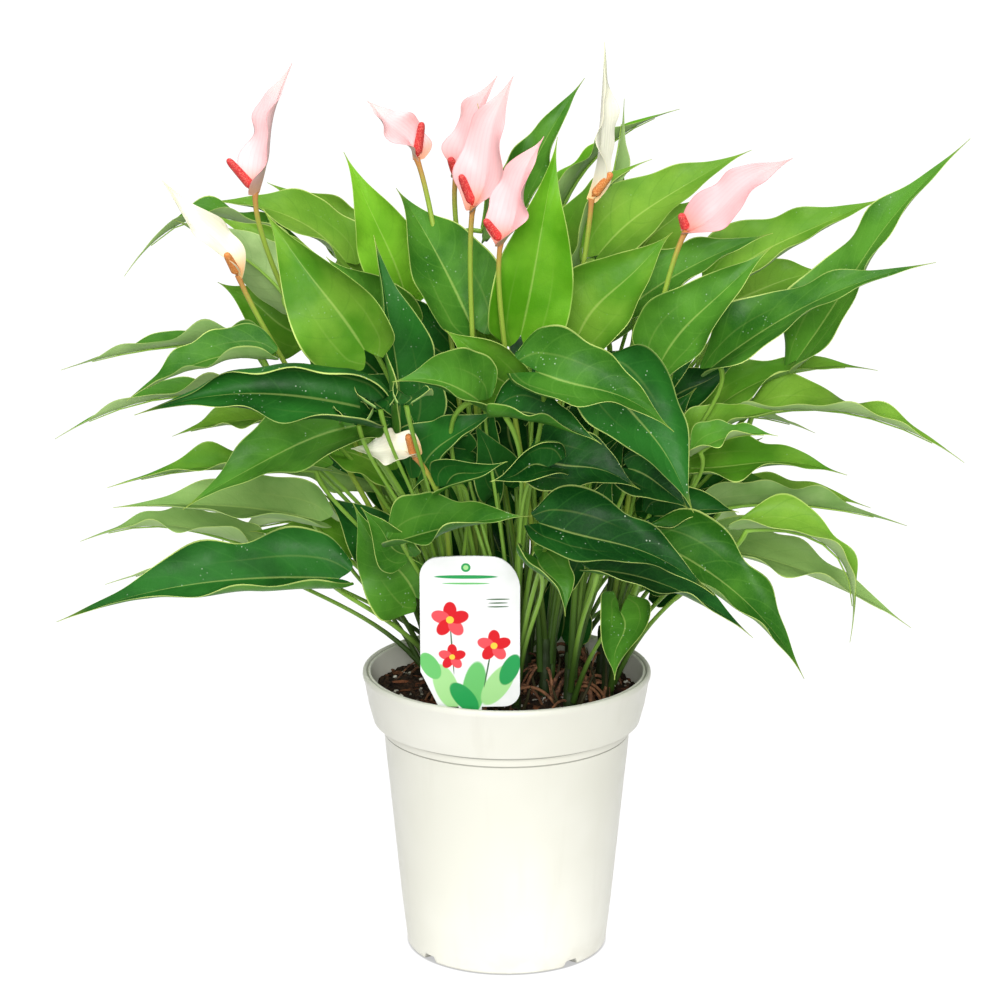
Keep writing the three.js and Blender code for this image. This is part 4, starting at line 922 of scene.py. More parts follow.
def sheath_patch(foot, draw):
    """A dry sheath beside the stem: a thin tube that leans out of the soil by a drawn turn, lean and
    rise. Radius at share s: (1 - s)^0.7 + 0.15, so it ends in a point."""
    turn, lean, rise = draw.uniform((0, 2, 8), (2 * math.pi, 9, 24))
    out = np.array([math.cos(turn), math.sin(turn), 0])
    foot = np.array([foot[0], foot[1], SOIL_TOP - 2], float) + SHEATH_OUT * out
    first = foot + 0.5 * lean * out + (0, 0, 0.4 * rise)
    second = foot + lean * out + (0, 0, 0.8 * rise)
    end = foot + 1.2 * lean * out + (0, 0, rise)
    share = np.linspace(0, 1, 8)
    path = bezier([foot, first, second, end], share)
    return tube_patch(path, (1 - share) ** 0.7 + 0.15, 8, SHEATH, draw.uniform())


print("sheaths:", SHEATHS * len(SHOOTS))

# %% [markdown]
# ## Inner leaves
# Behind the leaves of the table each shoot has smaller ones. They make the heart of a full plant
# dark, and in the photograph they show only as deep green shade. A few stand at chosen places, given
# by base, tip and sometimes facing. The rest are drawn by chance around their stem, from a fixed
# seed, because nobody can tell them apart and every run should still give the same plant.

# %% Inner leaves
INNER_ROWS = {
    "front_left": [
        [(-60, -110, 314), (-66, -80, 304), (0, 0, 1)],
        [(-49, -110, 316), (-46, -80, 308), (0, 0, 1)],
        [(-71, -108, 306), (-82, -80, 298), (0, 0, 1)],
    ],
    "centre_left": [[(-20, 2, 240), (-6, -10, 296)]],
    "centre_right": [[(38, -6, 236), (62, -18, 284)]],
    "front": [[(26, -50, 218), (40, -66, 258)]],
    "front_right": [[(38, -34, 228), (54, -46, 268)]],
    "right_front": [[(74, -12, 206), (106, -20, 236)], [(66, -4, 240), (92, -6, 282)]],
    "right": [[(70, 6, 202), (112, 4, 236)]],
    "left": [[(-60, -6, 214), (-94, -10, 246)]],
    "left_back": [[(-50, 36, 262), (-84, 38, 300)], [(-28, 40, 198), (-31, 44, 240)]],
    "back_left": [[(-20, 42, 240), (-34, 42, 298)]],
    "back_right": [[(48, 38, 246), (76, 38, 300)]],
    "centre_back": [
        [(4, 26, 258), (-2, 22, 318)],
        [(24, 30, 238), (46, 26, 298)],
        [(16, 36, 166), (20, 40, 212)],
        [(29, 36, 156), (30, 40, 200)],
    ],
}
print("placed inner leaves:", sum(map(len, INNER_ROWS.values())))

# %% [markdown]
# ## Drawing the inner leaves
# A row here gives the number of drawn leaves in a shoot and the heights between which their bases
# lie. All inner leaves share one arch, fold and curl, because only their edges catch any light.

# %% Draw the inner leaves
INNER_FACE = (0, -8, 3)
# Every inner leaf takes the deep green: dark leaves put in as painted shade for the heart of the clump.
INNER_LEAF = {"arch": 4, "fold": 12, "curl": (25, 25), "wave": 2, "finish": "deep"}
INNER_WIDTH = 0.74
DRAWN_INNER = {
    "front_left": (8, 250, 312), "left": (6, 250, 312), "centre_left": (8, 250, 315),
    "centre_right": (8, 250, 315), "front": (5, 245, 300), "front_right": (6, 245, 300),
    "right_front": (6, 245, 300), "right": (4, 250, 300), "left_back": (6, 196, 262),
    "back_left": (10, 170, 262), "centre_back": (12, 166, 262), "back_right": (12, 166, 255),
}
INNER_NEAR, INNER_FAR, INNER_SETBACK = 8, 48, 30
INNER_REACH, INNER_CLIMB_LEAST, INNER_CLIMB_MOST = 36, 12, 38
SIDE_SHARE = 0.4
inner_draw = np.random.default_rng(5)


def drawn_rows(foot, count, low, high):
    """Bases and tips of `count` inner leaves around a stem, drawn at random on its outer side, with
    their bases from `low` to `high`. Base: foot + (8 to 48) out, 30 further back. Tip: base + 36 out,
    12 to 38 higher."""
    turn = math.atan2(foot[1], foot[0]) + inner_draw.uniform(-1, 1, count)
    out = np.stack([np.cos(turn), SIDE_SHARE * np.sin(turn), 0 * turn], -1)
    base = np.array([*foot, 0]) + inner_draw.uniform(INNER_NEAR, INNER_FAR, (count, 1)) * out
    base[:, 1] += INNER_SETBACK
    base[:, 2] = inner_draw.uniform(low, high, count)
    tip = base + INNER_REACH * out
    tip[:, 2] += inner_draw.uniform(INNER_CLIMB_LEAST, INNER_CLIMB_MOST, count)
    return list(zip(base.tolist(), tip.tolist()))


def inner_leaf(base, tip, face=INNER_FACE):
    """An inner leaf as named values: its width is 0.74 of its length."""
    return INNER_LEAF | {"base": base, "tip": tip, "face": face, "width": INNER_WIDTH * math.dist(base, tip)}


for name, shoot in SHOOTS.items():
    rows = INNER_ROWS.get(name, []) + drawn_rows(shoot["foot"], *DRAWN_INNER[name])
    shoot["inner"] = [inner_leaf(*row) for row in rows]
print("inner leaves:", sum(len(shoot["inner"]) for shoot in SHOOTS.values()))

# %% [markdown]
# ## Dressing the shoots
# Each shoot becomes two pieces, its blades and its stalks, which together stand for the same solid.
# No two leaves of a plant are alike, so each one gets a little sway, ripple, roll and shade of its
# own before it is shaped. A table could hold all of that, but nobody would miss the exact numbers.

# %% Dress the shoots
SHADED_SHOOTS = ("front_left", "front", "front_right", "centre_left")
MOST_ROLL, ROLL_CHANCE = 70, 0.5
RIPPLE_RANGE = (0.022, 0.044)
MOST_SWAY = 4
TONE_RANGE = (0.2, 0.8)
INNER_NODE = 0.5
variety = np.random.default_rng(7)


def with_variety(leaf, back):
    """The leaf with small differences of its own, and the plain values of what its row leaves out."""
    plain = {"cup": 0, "roll": (0, 0), "form": LEAF_FORM, "back": back, "bow": (0, 0, 0)}
    rolled = variety.uniform(0, MOST_ROLL, 2) * (variety.uniform(0, 1, 2) < ROLL_CHANCE)
    ripple = math.dist(leaf["base"], leaf["tip"]) * variety.uniform(*RIPPLE_RANGE)
    own = {"sway": variety.uniform(-MOST_SWAY, MOST_SWAY), "ripple": ripple,
           "phase": variety.uniform(0, 6.3), "roll": tuple(rolled), "tone": variety.uniform(*TONE_RANGE)}
    return plain | own | leaf


def leaf_blade(leaf, grid):
    """The blade of a leaf in the finishes that it names for its two sides."""
    return blade_patch(leaf, LEAF_NUMBERS[leaf["finish"]], LEAF_NUMBERS[leaf["back"]], grid=grid)


for name, shoot in SHOOTS.items():
    # Painted shade: the undersides of leaves in the shaded shoots take the mid green instead of the pale one.
    back = "mid" if name in SHADED_SHOOTS else "under"
    leaves = [with_variety(leaf, back) for leaf in shoot["leaves"]]
    inner = [with_variety(leaf, "under") for leaf in shoot["inner"]]
    blades = [leaf_blade(leaf, FINE_GRID) for leaf in leaves]
    blades += [leaf_blade(leaf, PLAIN_GRID) for leaf in inner]
    foliage = make_piece(f"foliage_{name}", blades, LEAF_FINISHES)
    stalks = [petiole_patch(shoot["foot"], leaf, order / len(leaves)) for order, leaf in enumerate(leaves)]
    stalks += [petiole_patch(shoot["foot"], leaf, INNER_NODE) for leaf in inner]
    stalks += [peduncle_patch(shoot["foot"], BLOOMS[bloom]) for bloom in shoot["blooms"]]
    stalks += [sheath_patch(shoot["foot"], variety) for _ in range(SHEATHS)]
    stalks.append(stem_patch(shoot["foot"]))
    stalk_piece = make_piece(f"stalks_{name}", stalks, STALK_FINISHES)
    for piece in (foliage, stalk_piece):
        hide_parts(f"shoot_{name}")
print("shoots dressed:", len(SHOOTS))

# %% [markdown]
# ## Bloom skins
# A spathe is waxy, deepest in colour at its base and margin, with fine veins that run from base to
# tip. The spadix is matt, and its colour comes in tiny bumps, which are cells of a Voronoi texture:
# light on top and dark in the seams between them, where the darkening is painted shade.

# %% Bloom skins
spathe_skin, given, end = new_skin("spathe_skin", Base="colour", Middle="colour", Top="colour", Vein="colour")
mark_across, mark_along, _ = apart(spathe_skin, given["Marks"])
colour = blend(spathe_skin, ramp(spathe_skin, mark_along, 0.0, 0.22), given["Base"], given["Middle"])
colour = blend(spathe_skin, ramp(spathe_skin, mark_along, 0.6, 1.0), colour, given["Top"])
colour = blend(spathe_skin, sums(spathe_skin, "MULTIPLY", given["Tone"], 0.42), colour, given["Vein"])
lines = sums(spathe_skin, "PINGPONG", sums(spathe_skin, "MULTIPLY", mark_across, 12.0), 0.5)
colour = blend(spathe_skin, ramp(spathe_skin, lines, 0.0, 0.25, 0.14, 0.0), colour, given["Vein"])
edge = place_group(spathe_skin, blade_marks, {"Marks": given["Marks"]})["Margin"]
colour = blend(spathe_skin, sums(spathe_skin, "MULTIPLY", edge, 0.5), colour, given["Vein"])
blotches = ramp(spathe_skin, noise(spathe_skin, given["Place"], 70, 3), 0.4, 0.8, 0.0, 0.25)
colour = blend(spathe_skin, blotches, colour, given["Vein"])
gloss = place_group(spathe_skin, uneven_gloss, {"Place": given["Place"], "Gloss": 0.42})["Roughness"]
end_skin(spathe_skin, end, colour, gloss, lines, 0.0001)

spadix_skin, given, end = new_skin("spadix_skin", Low="colour", High="colour")
voronoi = {"Vector": given["Place"], "Scale": 1300.0}
cells = add_node(spadix_skin, "ShaderNodeTexVoronoi", voronoi).outputs["Distance"]
# Painted shade: the seams between the bumps are darker.
colour = blend(spadix_skin, ramp(spadix_skin, cells, 0.05, 0.6), given["High"], given["Low"])
gloss = place_group(spadix_skin, uneven_gloss, {"Place": given["Place"], "Gloss": 0.55})["Roughness"]
bump_tops = sums(spadix_skin, "SUBTRACT", 1.0, cells)
end_skin(spadix_skin, end, colour, gloss, bump_tops, 0.0003)
print("groups", spathe_skin.name, "and", spadix_skin.name)

# %% [markdown]
# ## Bloom colours
# The plant bears pink blooms with coral spadices and creamy ones with orange spadices. Both kinds
# share their skins, so a third colour would be one more row.

# %% Bloom colours
SPATHE_COLOURS = {
    "pink": {"Base": paint(240, 186, 150), "Middle": paint(250, 208, 208), "Top": paint(251, 218, 212),
             "Vein": paint(236, 152, 156)},
    "cream": {"Base": paint(242, 206, 140), "Middle": paint(253, 251, 232), "Top": paint(240, 244, 204),
              "Vein": paint(236, 230, 190)},
}
SPADIX_COLOURS = {
    "coral": {"Low": paint(214, 60, 62), "High": paint(248, 128, 112)},
    "orange": {"Low": paint(226, 136, 70), "High": paint(250, 190, 116)},
}
SPATHE_FINISHES = {name: skin_material(f"spathe_{name}", spathe_skin, values, Specular_IOR_Level=WAX_SHINE)
                   for name, values in SPATHE_COLOURS.items()}
SPADIX_FINISHES = {name: skin_material(f"spadix_{name}", spadix_skin, values, Specular_IOR_Level=WAX_SHINE)
                   for name, values in SPADIX_COLOURS.items()}
print("bloom finishes:", ", ".join(SPATHE_FINISHES))

# %% [markdown]
# ## Spathes and spadices
# The spathe is the leaf formula again with another outline: narrow at its base, where it cups the
# spadix, and widest below the middle. The spadix is a turned finger with crossing spirals of bumps.
# A bump in the material would be enough from afar, but its edge against the light would stay smooth.

# %% Spathes and spadices
SPATHE_SETBACK = 2.4
SPADIX_NECK, SPADIX_RADIUS = 1.2, 2.5
SPADIX_ROWS, SPADIX_SIDES = 72, 40
SPIRALS, SPIRAL_TURNS, BUMP_HEIGHT = 9, 12, 0.06
SPADIX_TAPER = 0.28


def spathe_leaf(bloom):
    """The spathe as a leaf for the blade formula, 2.4 mm behind the seat of its bloom."""
    base = np.subtract(bloom["seat"], SPATHE_SETBACK * unit(np.array(bloom["face"], float)))
    shape = {
        "base": base, "form": SPATHE_FORM, "curl": (bloom["curl"], bloom["curl"]), "cup": 50,
        "roll": (0, 0), "wave": 3, "sway": 4, "ripple": 2, "phase": bloom["width"],
    }
    return bloom | shape


def spadix_patch(bloom):
    """A finger along its axis: radius (1 - (2s - 1)^8)^0.5 full, tapered by 0.28 s, with bumps
    cos(9a + 24 pi s) cos(9a - 24 pi s) that stand 6 percent out."""
    seat, tip = np.array(bloom["seat"], float), np.array(bloom["spadix"], float)
    axis = unit(tip - seat)
    foot = seat + 0.5 * axis
    s = np.linspace(0, 1, SPADIX_ROWS)[:, None]
    angle = np.linspace(0, 2 * math.pi, SPADIX_SIDES, endpoint=False)[None]
    full = np.sqrt(np.clip(1 - (2 * s - 1) ** 8, 0.0004, 1)) * (1 - SPADIX_TAPER * s)
    neck = SPADIX_NECK / SPADIX_RADIUS + (1 - SPADIX_NECK / SPADIX_RADIUS) * smooth_step(0.04, 0.22, s)
    twist = 2 * math.pi * SPIRAL_TURNS * s
    rising = smooth_step(0.1, 0.25, s)
    bumps = 1 + BUMP_HEIGHT * np.cos(SPIRALS * angle + twist) * np.cos(SPIRALS * angle - twist) * rising
    radius = SPADIX_RADIUS * full * neck * bumps
    first = unit(np.cross(axis, (0.3, 1, 0.2)))
    second = np.cross(axis, first)
    ring = np.cos(angle)[..., None] * first + np.sin(angle)[..., None] * second
    points = foot + (s * np.linalg.norm(tip - foot))[..., None] * axis + radius[..., None] * ring
    marks = np.stack(np.broadcast_arrays(angle / (2 * math.pi), s), -1)
    return patch(points, marks, grid_faces(SPADIX_ROWS, SPADIX_SIDES, closed=True), 0)


print("points of a spadix:", SPADIX_ROWS * SPADIX_SIDES)

# %% [markdown]
# ## Dressing the blooms
# Each bloom becomes two pieces, one for each of its solids. Some pink spathes are flushed, which the
# first table gives as the tone of the skin. The low cream bloom has an orange spadix here, but keeps
# the colour slot of its solid, which is coral.

# %% Dress the blooms
FLUSH = {"right_pink": 1.0, "middle_right": 0.6, "middle_large": 0.45, "middle_back": 0.45}
for name, bloom in BLOOMS.items():
    colour = bloom["colour"]
    spadix_finish = "orange" if colour == "cream" else "coral"
    flushed = spathe_leaf(bloom) | {"tone": FLUSH.get(name, 0)}
    spathe_blade = blade_patch(flushed, 0, 0, relief=0.2, half_thickness=0.4)
    spathe = make_piece(f"spathe_skin_{name}", [spathe_blade], [SPATHE_FINISHES[colour]])
    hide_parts(f"spathe_{name}")
    spadix = make_piece(f"spadix_skin_{name}", [spadix_patch(bloom)], [SPADIX_FINISHES[spadix_finish]])
    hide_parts(f"spadix_{name}")
print("blooms dressed:", len(BLOOMS))

# %% [markdown]
# ## The pot
# A nursery pot is moulded in one shot, so it is one turned wall: a tapered body with two fine
# grooves, a collar that stands out over it, and a lip with a step inside. Bevelled cylinders could be
# joined to it, but a section that is turned shows each radius in one place. It is a list of corners
# (radius, height) from the middle of the foot round to the middle of the floor.

# %% The pot's section
POT_HEIGHT, RIM_RADIUS, BASE_RADIUS = 150, 75, 52.5
COLLAR_FOOT, COLLAR_FOOT_RADIUS = 123, 69.5
BODY_TOP_RADIUS, SECOND_GROOVE = 64.8, 117
POT_WALL, POT_FLOOR = 2.2, 5
POT_SIDES = 240

LIP = [
    (0.8, 4.4), (0.2, 3.4), (0, 2.2), (0.2, 0.9), (0.7, 0.2), (1.3, 0), (1.9, 0.3), (2.2, 1.4),
    (2.7, 1.6), (3, 0.9), (3.5, 0.5), (4, 0.6), (4.4, 1.6), (5.2, 9),
]
POT_SECTION = np.array([
    [0.02, 0], [BASE_RADIUS - 9, 0], [BASE_RADIUS - 2, 0], [BASE_RADIUS - 0.6, 0.2],
    [BASE_RADIUS, 1.2], [BASE_RADIUS + 0.1, 2.4], [BASE_RADIUS + 0.25, 3.6], [BASE_RADIUS + 0.5, 6],
    [55.2, 25], [58.1, 55], [61, 85], [63.3, 108],
    [63.95, SECOND_GROOVE - 0.5], [63.6, SECOND_GROOVE - 0.3], [63.6, SECOND_GROOVE + 0.2],
    [64.4, SECOND_GROOVE + 0.4], [BODY_TOP_RADIUS, COLLAR_FOOT - 0.7], [64.5, COLLAR_FOOT - 0.6],
    [64.5, COLLAR_FOOT], [65.4, COLLAR_FOOT + 0.1], [COLLAR_FOOT_RADIUS - 0.3, COLLAR_FOOT + 0.15],
    [COLLAR_FOOT_RADIUS - 0.05, COLLAR_FOOT + 0.35], [COLLAR_FOOT_RADIUS + 0.1, COLLAR_FOOT + 0.8],
    [72, 133], *([RIM_RADIUS - inwards, POT_HEIGHT - down] for inwards, down in LIP),
    [COLLAR_FOOT_RADIUS - POT_WALL, COLLAR_FOOT + 4], [BODY_TOP_RADIUS - POT_WALL, COLLAR_FOOT - 4],
    [BASE_RADIUS - POT_WALL, POT_FLOOR], [0.02, POT_FLOOR],
])
print("corners of the section:", len(POT_SECTION))

# %% [markdown]
# ## The turned pot
# The section is turned about the upright axis, and each of its corners becomes a ring. Notches in
# the foot let water out: instead of cutting them, which leaves ragged edges, the lowest rings are
# lifted where a notch is.

# %% The turned pot
NOTCH_WIDTH, NOTCH_HEIGHT, NOTCH_TURN, NOTCHES = 8, 3.6, 40, 4


def notch_rise(angle, radius):
    """How far the foot is raised: the notch's height near its middle, falling to 0 at its sides."""
    step = 2 * math.pi / NOTCHES
    from_middle = (angle - math.radians(NOTCH_TURN) + step / 2) % step - step / 2
    beside = 1 - smooth_step(NOTCH_WIDTH / 2 - 0.6, NOTCH_WIDTH / 2 + 0.6, np.abs(from_middle) * BASE_RADIUS)
    return NOTCH_HEIGHT * beside * smooth_step(BASE_RADIUS - 9, BASE_RADIUS - 2, radius)


def turned_patch(section, sides, lift):
    """A section (radius, height) turned about Z: radius cos a, radius sin a. Its lowest points are
    raised to `lift(angle, radius)`."""
    angle = np.linspace(0, 2 * math.pi, sides, endpoint=False)[None]
    radius = section[:, :1] + 0 * angle
    height = section[:, 1:] + 0 * angle
    height = np.where(height < NOTCH_HEIGHT, np.maximum(height, lift(angle, radius)), height)
    points = np.stack([radius * np.cos(angle), radius * np.sin(angle), height], -1)
    order = np.linspace(0, 1, len(section))[:, None]
    marks = np.stack(np.broadcast_arrays(angle / (2 * math.pi), order), -1)
    return patch(points, marks, grid_faces(len(section), sides, closed=True), 0)


print("notch height on a notch:", round(float(notch_rise(math.radians(NOTCH_TURN), BASE_RADIUS)), 1), "mm")

# %% [markdown]
# ## The pot's plastic
# Ivory plastic is nearly plain, so a single colour would do for a new pot. This one has stood on
# benches: it has faint upright streaks and dust near the ground. Grey lines of painted shade darken
# its grooves, the step inside its lip and its foot. Each is a mask worked out from the place on the pot.

# %% The pot's plastic
LINE_CORE, LINE_EDGE = 0.0003, 0.0006
pot_finish, tree, shader, place = new_material("pot_plastic", Specular_IOR_Level=0.4)
upright = add_node(tree, "ShaderNodeMapping", {0: place, 3: (1, 1, 0.08)}).outputs[0]
streaks = noise(tree, upright, 120, 3)
clouds = ramp(tree, noise(tree, place, 14, 3), 0.35, 0.7)
ivory = blend(tree, clouds, paint(226, 225, 212), paint(233, 232, 221))
ivory = blend(tree, ramp(tree, streaks, 0.55, 0.8, 0.0, 0.25), ivory, paint(216, 214, 200))
place_x, place_y, place_z = apart(tree, place)
near_ground = ramp(tree, place_z, 0.0, 0.02, 1.0, 0.0)
dust = sums(tree, "MULTIPLY", near_ground, ramp(tree, noise(tree, place, 60, 4), 0.4, 0.7))
ivory = blend(tree, sums(tree, "MULTIPLY", dust, 0.4), ivory, paint(204, 199, 182))
square_x = sums(tree, "MULTIPLY", place_x, place_x)
square_y = sums(tree, "MULTIPLY", place_y, place_y)
radius = sums(tree, "SQRT", sums(tree, "ADD", square_x, square_y))
# Painted shade: thin grey lines under the collar, in the lower groove, on the step inside the lip, and round
# the foot and the edges of its notches.
under_collar = ramp(tree, radius, 0.0655, 0.0665, 1.0, 0.0)
from_first = sums(tree, "ABSOLUTE", sums(tree, "SUBTRACT", place_z, (COLLAR_FOOT - 1.5) * MM))
from_second = sums(tree, "ABSOLUTE", sums(tree, "SUBTRACT", place_z, SECOND_GROOVE * MM))
in_band = ramp(tree, sums(tree, "MINIMUM", from_first, from_second), LINE_CORE, LINE_EDGE, 1.0, 0.0)
from_rim = sums(tree, "ABSOLUTE", sums(tree, "SUBTRACT", radius, (RIM_RADIUS - 2.5) * MM))
near_rim = ramp(tree, from_rim, LINE_CORE, LINE_EDGE, 1.0, 0.0)
rim_step_shade = sums(tree, "MULTIPLY", near_rim, ramp(tree, place_z, 0.146, 0.1465))
ring_number = apart(tree, add_node(tree, "ShaderNodeUVMap", uv_map="blade").outputs[0])[1]
foot_shade = ramp(tree, ring_number, 0.06, 0.085, 0.7, 0.0)
groove_shade = sums(tree, "MULTIPLY", under_collar, in_band)
painted_shade_lines = sums(tree, "MAXIMUM", groove_shade, sums(tree, "MAXIMUM", rim_step_shade, foot_shade))
ivory = blend(tree, sums(tree, "MULTIPLY", painted_shade_lines, 0.7), ivory, paint(150, 150, 140))
tree.links.new(ivory, shader.inputs["Base Color"])
gloss = place_group(tree, uneven_gloss, {"Place": place, "Gloss": 0.34})["Roughness"]
relief = add_node(tree, "ShaderNodeBump", {"Height": noise(tree, place, 500, 3), "Distance": 0.00002})
tree.links.new(gloss, shader.inputs["Roughness"])
tree.links.new(relief.outputs["Normal"], shader.inputs["Normal"])

pot = make_piece("pot_shell", [turned_patch(POT_SECTION, POT_SIDES, notch_rise)], [pot_finish], crease=60)
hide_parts("pot")
print("pot faces:", len(pot.data.polygons))

# %% [markdown]
# ## The soil
# Potting mix is dark peat with bark chips and white grains in it. The ground is one bumpy disc that
# closes under itself. A noise texture could shape it, but sine waves of crossing directions give the
# same height wherever they are asked for, so the stones scattered later can stand right on it.

# %% The soil's shape
SOIL_RADIUS, SOIL_DIP = 68.9, 1.5
SOIL_ROWS, SOIL_SIDES = 70, 220
SOIL_WALL = np.array([[66.4, 126.0], [61.6, 118.0], [50.0, 6.0], [0.03, 6.0]])


def soil_height(x, y):
    """The soil's height in mm at x and y: the top, broad swells of 1.4, finer crumbs of 0.55 and 0.3
    from crossing sine waves, a bell-shaped heap of 3.5 at the left, and a dip of 1.5 at the wall."""
    broad = 1.4 * np.sin(0.17 * x + 1) * np.cos(0.21 * y + 2)
    fine = 0.55 * np.sin(0.9 * x + 0.4 * y) * np.cos(0.8 * y - 0.35 * x + 1)
    fine = fine + 0.3 * np.sin(1.9 * x - 1.1 * y + 2)
    hump = 3.5 * np.exp(-((x + 50) / 20) ** 2 - ((y - 6) / 24) ** 2)
    return SOIL_TOP + broad + fine + hump - SOIL_DIP * smooth_step(50, 68, np.hypot(x, y))


def soil_patch():
    """A disc of rings with the soil's height, and a plain wall and floor that follow the pot."""
    share = np.linspace(0.0005, 1, SOIL_ROWS)[:, None]
    angle = np.linspace(0, 2 * math.pi, SOIL_SIDES, endpoint=False)[None]
    radius = SOIL_RADIUS * share + 0 * angle
    x, y = radius * np.cos(angle), radius * np.sin(angle)
    top = np.stack([x, y, soil_height(x, y)], -1)
    below, height = SOIL_WALL[:, :1], SOIL_WALL[:, 1:]
    wall = np.stack(np.broadcast_arrays(below * np.cos(angle), below * np.sin(angle), height), -1)
    points = np.concatenate([top, wall])
    faces = grid_faces(len(points), SOIL_SIDES, closed=True)[:, ::-1]
    return patch(points, points[..., :2] / SOIL_RADIUS, faces, 0)


print("height in the heap:", round(float(soil_height(-50, 6)), 1), "mm")

# %% [markdown]
# ## Grains and chips
# The chips and grains are small stones scattered on the ground by a seeded draw, so every run gives
# the same soil. Copies are made as whole arrays: one small shape, turned and sized many times at
# Instancing would save memory, but here every copy is a plain mesh. Instancing would save memory,
# but the exported part has to hold plain meshes.

# %% Grains and chips
LITTER_RADIUS = 66.5
litter_draw = np.random.default_rng(11)


def grain_shape():
    """A small blunt stone: four rings of eight points on a ball, from 60 degrees below to 60 above."""
    height = np.linspace(-math.pi / 3, math.pi / 3, 4)[:, None]
    turn = np.linspace(0, 2 * math.pi, 8, endpoint=False)[None]
    ring = np.cos(height)
    points = np.stack(np.broadcast_arrays(ring * np.cos(turn), ring * np.sin(turn), np.sin(height)), -1)
    return points.reshape(-1, 3), grid_faces(4, 8, closed=True)


def scattered_patch(spots, sizes, material, flat=False):
    """Copies of the small stone at `spots`, each with its own three half sizes, turned at random. Flat
    ones are only turned about Z and tilted a little: six times the unit matrix outweighs the draw."""
    points, faces = grain_shape()
    count = len(spots)
    own_way = litter_draw.normal(size=(count, 3, 3)) + (6 * np.eye(3) if flat else 0)
    turned = np.linalg.qr(own_way)[0]
    turned *= np.sign(np.linalg.det(turned))[:, None, None]
    spin = litter_draw.uniform(0, 2 * math.pi, count)
    about = np.zeros((count, 3, 3))
    about[:, 0, 0] = about[:, 1, 1] = np.cos(spin)
    about[:, 1, 0] = np.sin(spin)
    about[:, 0, 1] = -np.sin(spin)
    about[:, 2, 2] = 1
    lumps = points[None] * (1 + 0.25 * litter_draw.uniform(-1, 1, (count, len(points), 1)))
    shapes = np.einsum("nij,nkj->nki", about @ turned, lumps * sizes[:, None]) + spots[:, None]
    numbers = faces[None] + (np.arange(count) * len(points))[:, None, None]
    tones = np.repeat(litter_draw.uniform(0, 1, count), len(points))
    marks = np.zeros((count * len(points), 2))
    return patch(shapes, marks, numbers.reshape(-1, 4), material, tones)


def soil_spots(count, sink):
    """Random places on the soil, `sink` mm into it. The root of an even draw spreads them evenly over
    the disc."""
    radius = LITTER_RADIUS * np.sqrt(litter_draw.uniform(0, 1, count))
    angle = litter_draw.uniform(0, 2 * math.pi, count)
    x, y = radius * np.cos(angle), radius * np.sin(angle)
    return np.stack([x, y, soil_height(x, y) - sink], -1)


def drawn_sizes(count, low, high):
    """Random half sizes for `count` stones."""
    return litter_draw.uniform(low, high, (count, 3))


print("points of a stone:", len(grain_shape()[0]))

# %% [markdown]
# ## The soil's finish
# Peat, bark and grains are all rough and crumbly and differ in colour, grain and shine, so one skin
# with four sets of values dresses them all. Each stone's own tone makes it lighter or darker.

# %% The soil's finish
earth_skin, given, end = new_skin("earth_skin", Dark="colour", Light="colour", Scale="value", Gloss="value")
grainy = noise(earth_skin, given["Place"], given["Scale"], 5, 0.7)
own_shade = ramp(earth_skin, given["Tone"], 0.0, 1.0, -0.3, 0.3)
share = sums(earth_skin, "ADD", ramp(earth_skin, grainy, 0.35, 0.68), own_shade)
gloss = place_group(earth_skin, uneven_gloss, {"Place": given["Place"], "Gloss": given["Gloss"]})["Roughness"]
colour = blend(earth_skin, share, given["Dark"], given["Light"])
end_skin(earth_skin, end, colour, gloss, grainy, 0.001)

EARTH_TONES = {
    "peat": {"Dark": paint(20, 14, 10), "Light": paint(62, 44, 30), "Scale": 420.0, "Gloss": 0.85},
    "bark": {"Dark": paint(44, 26, 17), "Light": paint(116, 70, 44), "Scale": 260.0, "Gloss": 0.75},
    "perlite": {"Dark": paint(168, 162, 148), "Light": paint(230, 226, 214), "Scale": 500.0, "Gloss": 0.8},
    "grit": {"Dark": paint(70, 66, 60), "Light": paint(140, 136, 124), "Scale": 500.0, "Gloss": 0.7},
}
EARTH_SHINE = 0.2
EARTH_FINISHES = [skin_material(name, earth_skin, values, Specular_IOR_Level=EARTH_SHINE)
                  for name, values in EARTH_TONES.items()]
print("earth finishes:", len(EARTH_FINISHES))

# %% [markdown]
# ## The ground and its litter
# A row of this table is one kind of litter, in the order of the finishes: how many, how deep they
# sink, their smallest and largest half sizes, and whether they lie flat, as bark chips do.

# %% The ground and its litter
LITTER_ROWS = [
    (1200, 0.2, 0.6, 2.0, False),
    (240, 0.0, (1.6, 0.8, 0.4), (6.0, 2.4, 1.1), True),
    (110, 0.0, 0.6, 1.7, False),
    (160, 0.0, 0.6, 1.6, False),
]
stones = [scattered_patch(soil_spots(count, sink), drawn_sizes(count, low, high), number, flat)
          for number, (count, sink, low, high, flat) in enumerate(LITTER_ROWS)]
soil = make_piece("soil_ground", [soil_patch()], EARTH_FINISHES)
litter = make_piece("soil_litter", stones, EARTH_FINISHES)
for piece in (soil, litter):
    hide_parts("soil")
print("soil faces:", len(soil.data.polygons), "litter faces:", len(litter.data.polygons))

# %% [markdown]
# ## The aerial roots
# Older anthuriums send brown roots out above the soil, which arch over and go back in. They leave a
# woody knob beside the shoots, and finer ones spring from the foot of every stem. A row of the table
# is one root of the knob: where it ends, how high it arches and its radius.

# %% The aerial roots
KNOB = (36, -12)
ROOT_ROWS = [
    ((24, -22), 10, 1.3), ((44, -27), 14, 1.5), ((22, -16), 16, 1.1), ((40, 6), 12, 1.4),
    ((28, 4), 9, 1.2),
]
FINE_ROOTS = 7
ROOT_LIMIT = 61


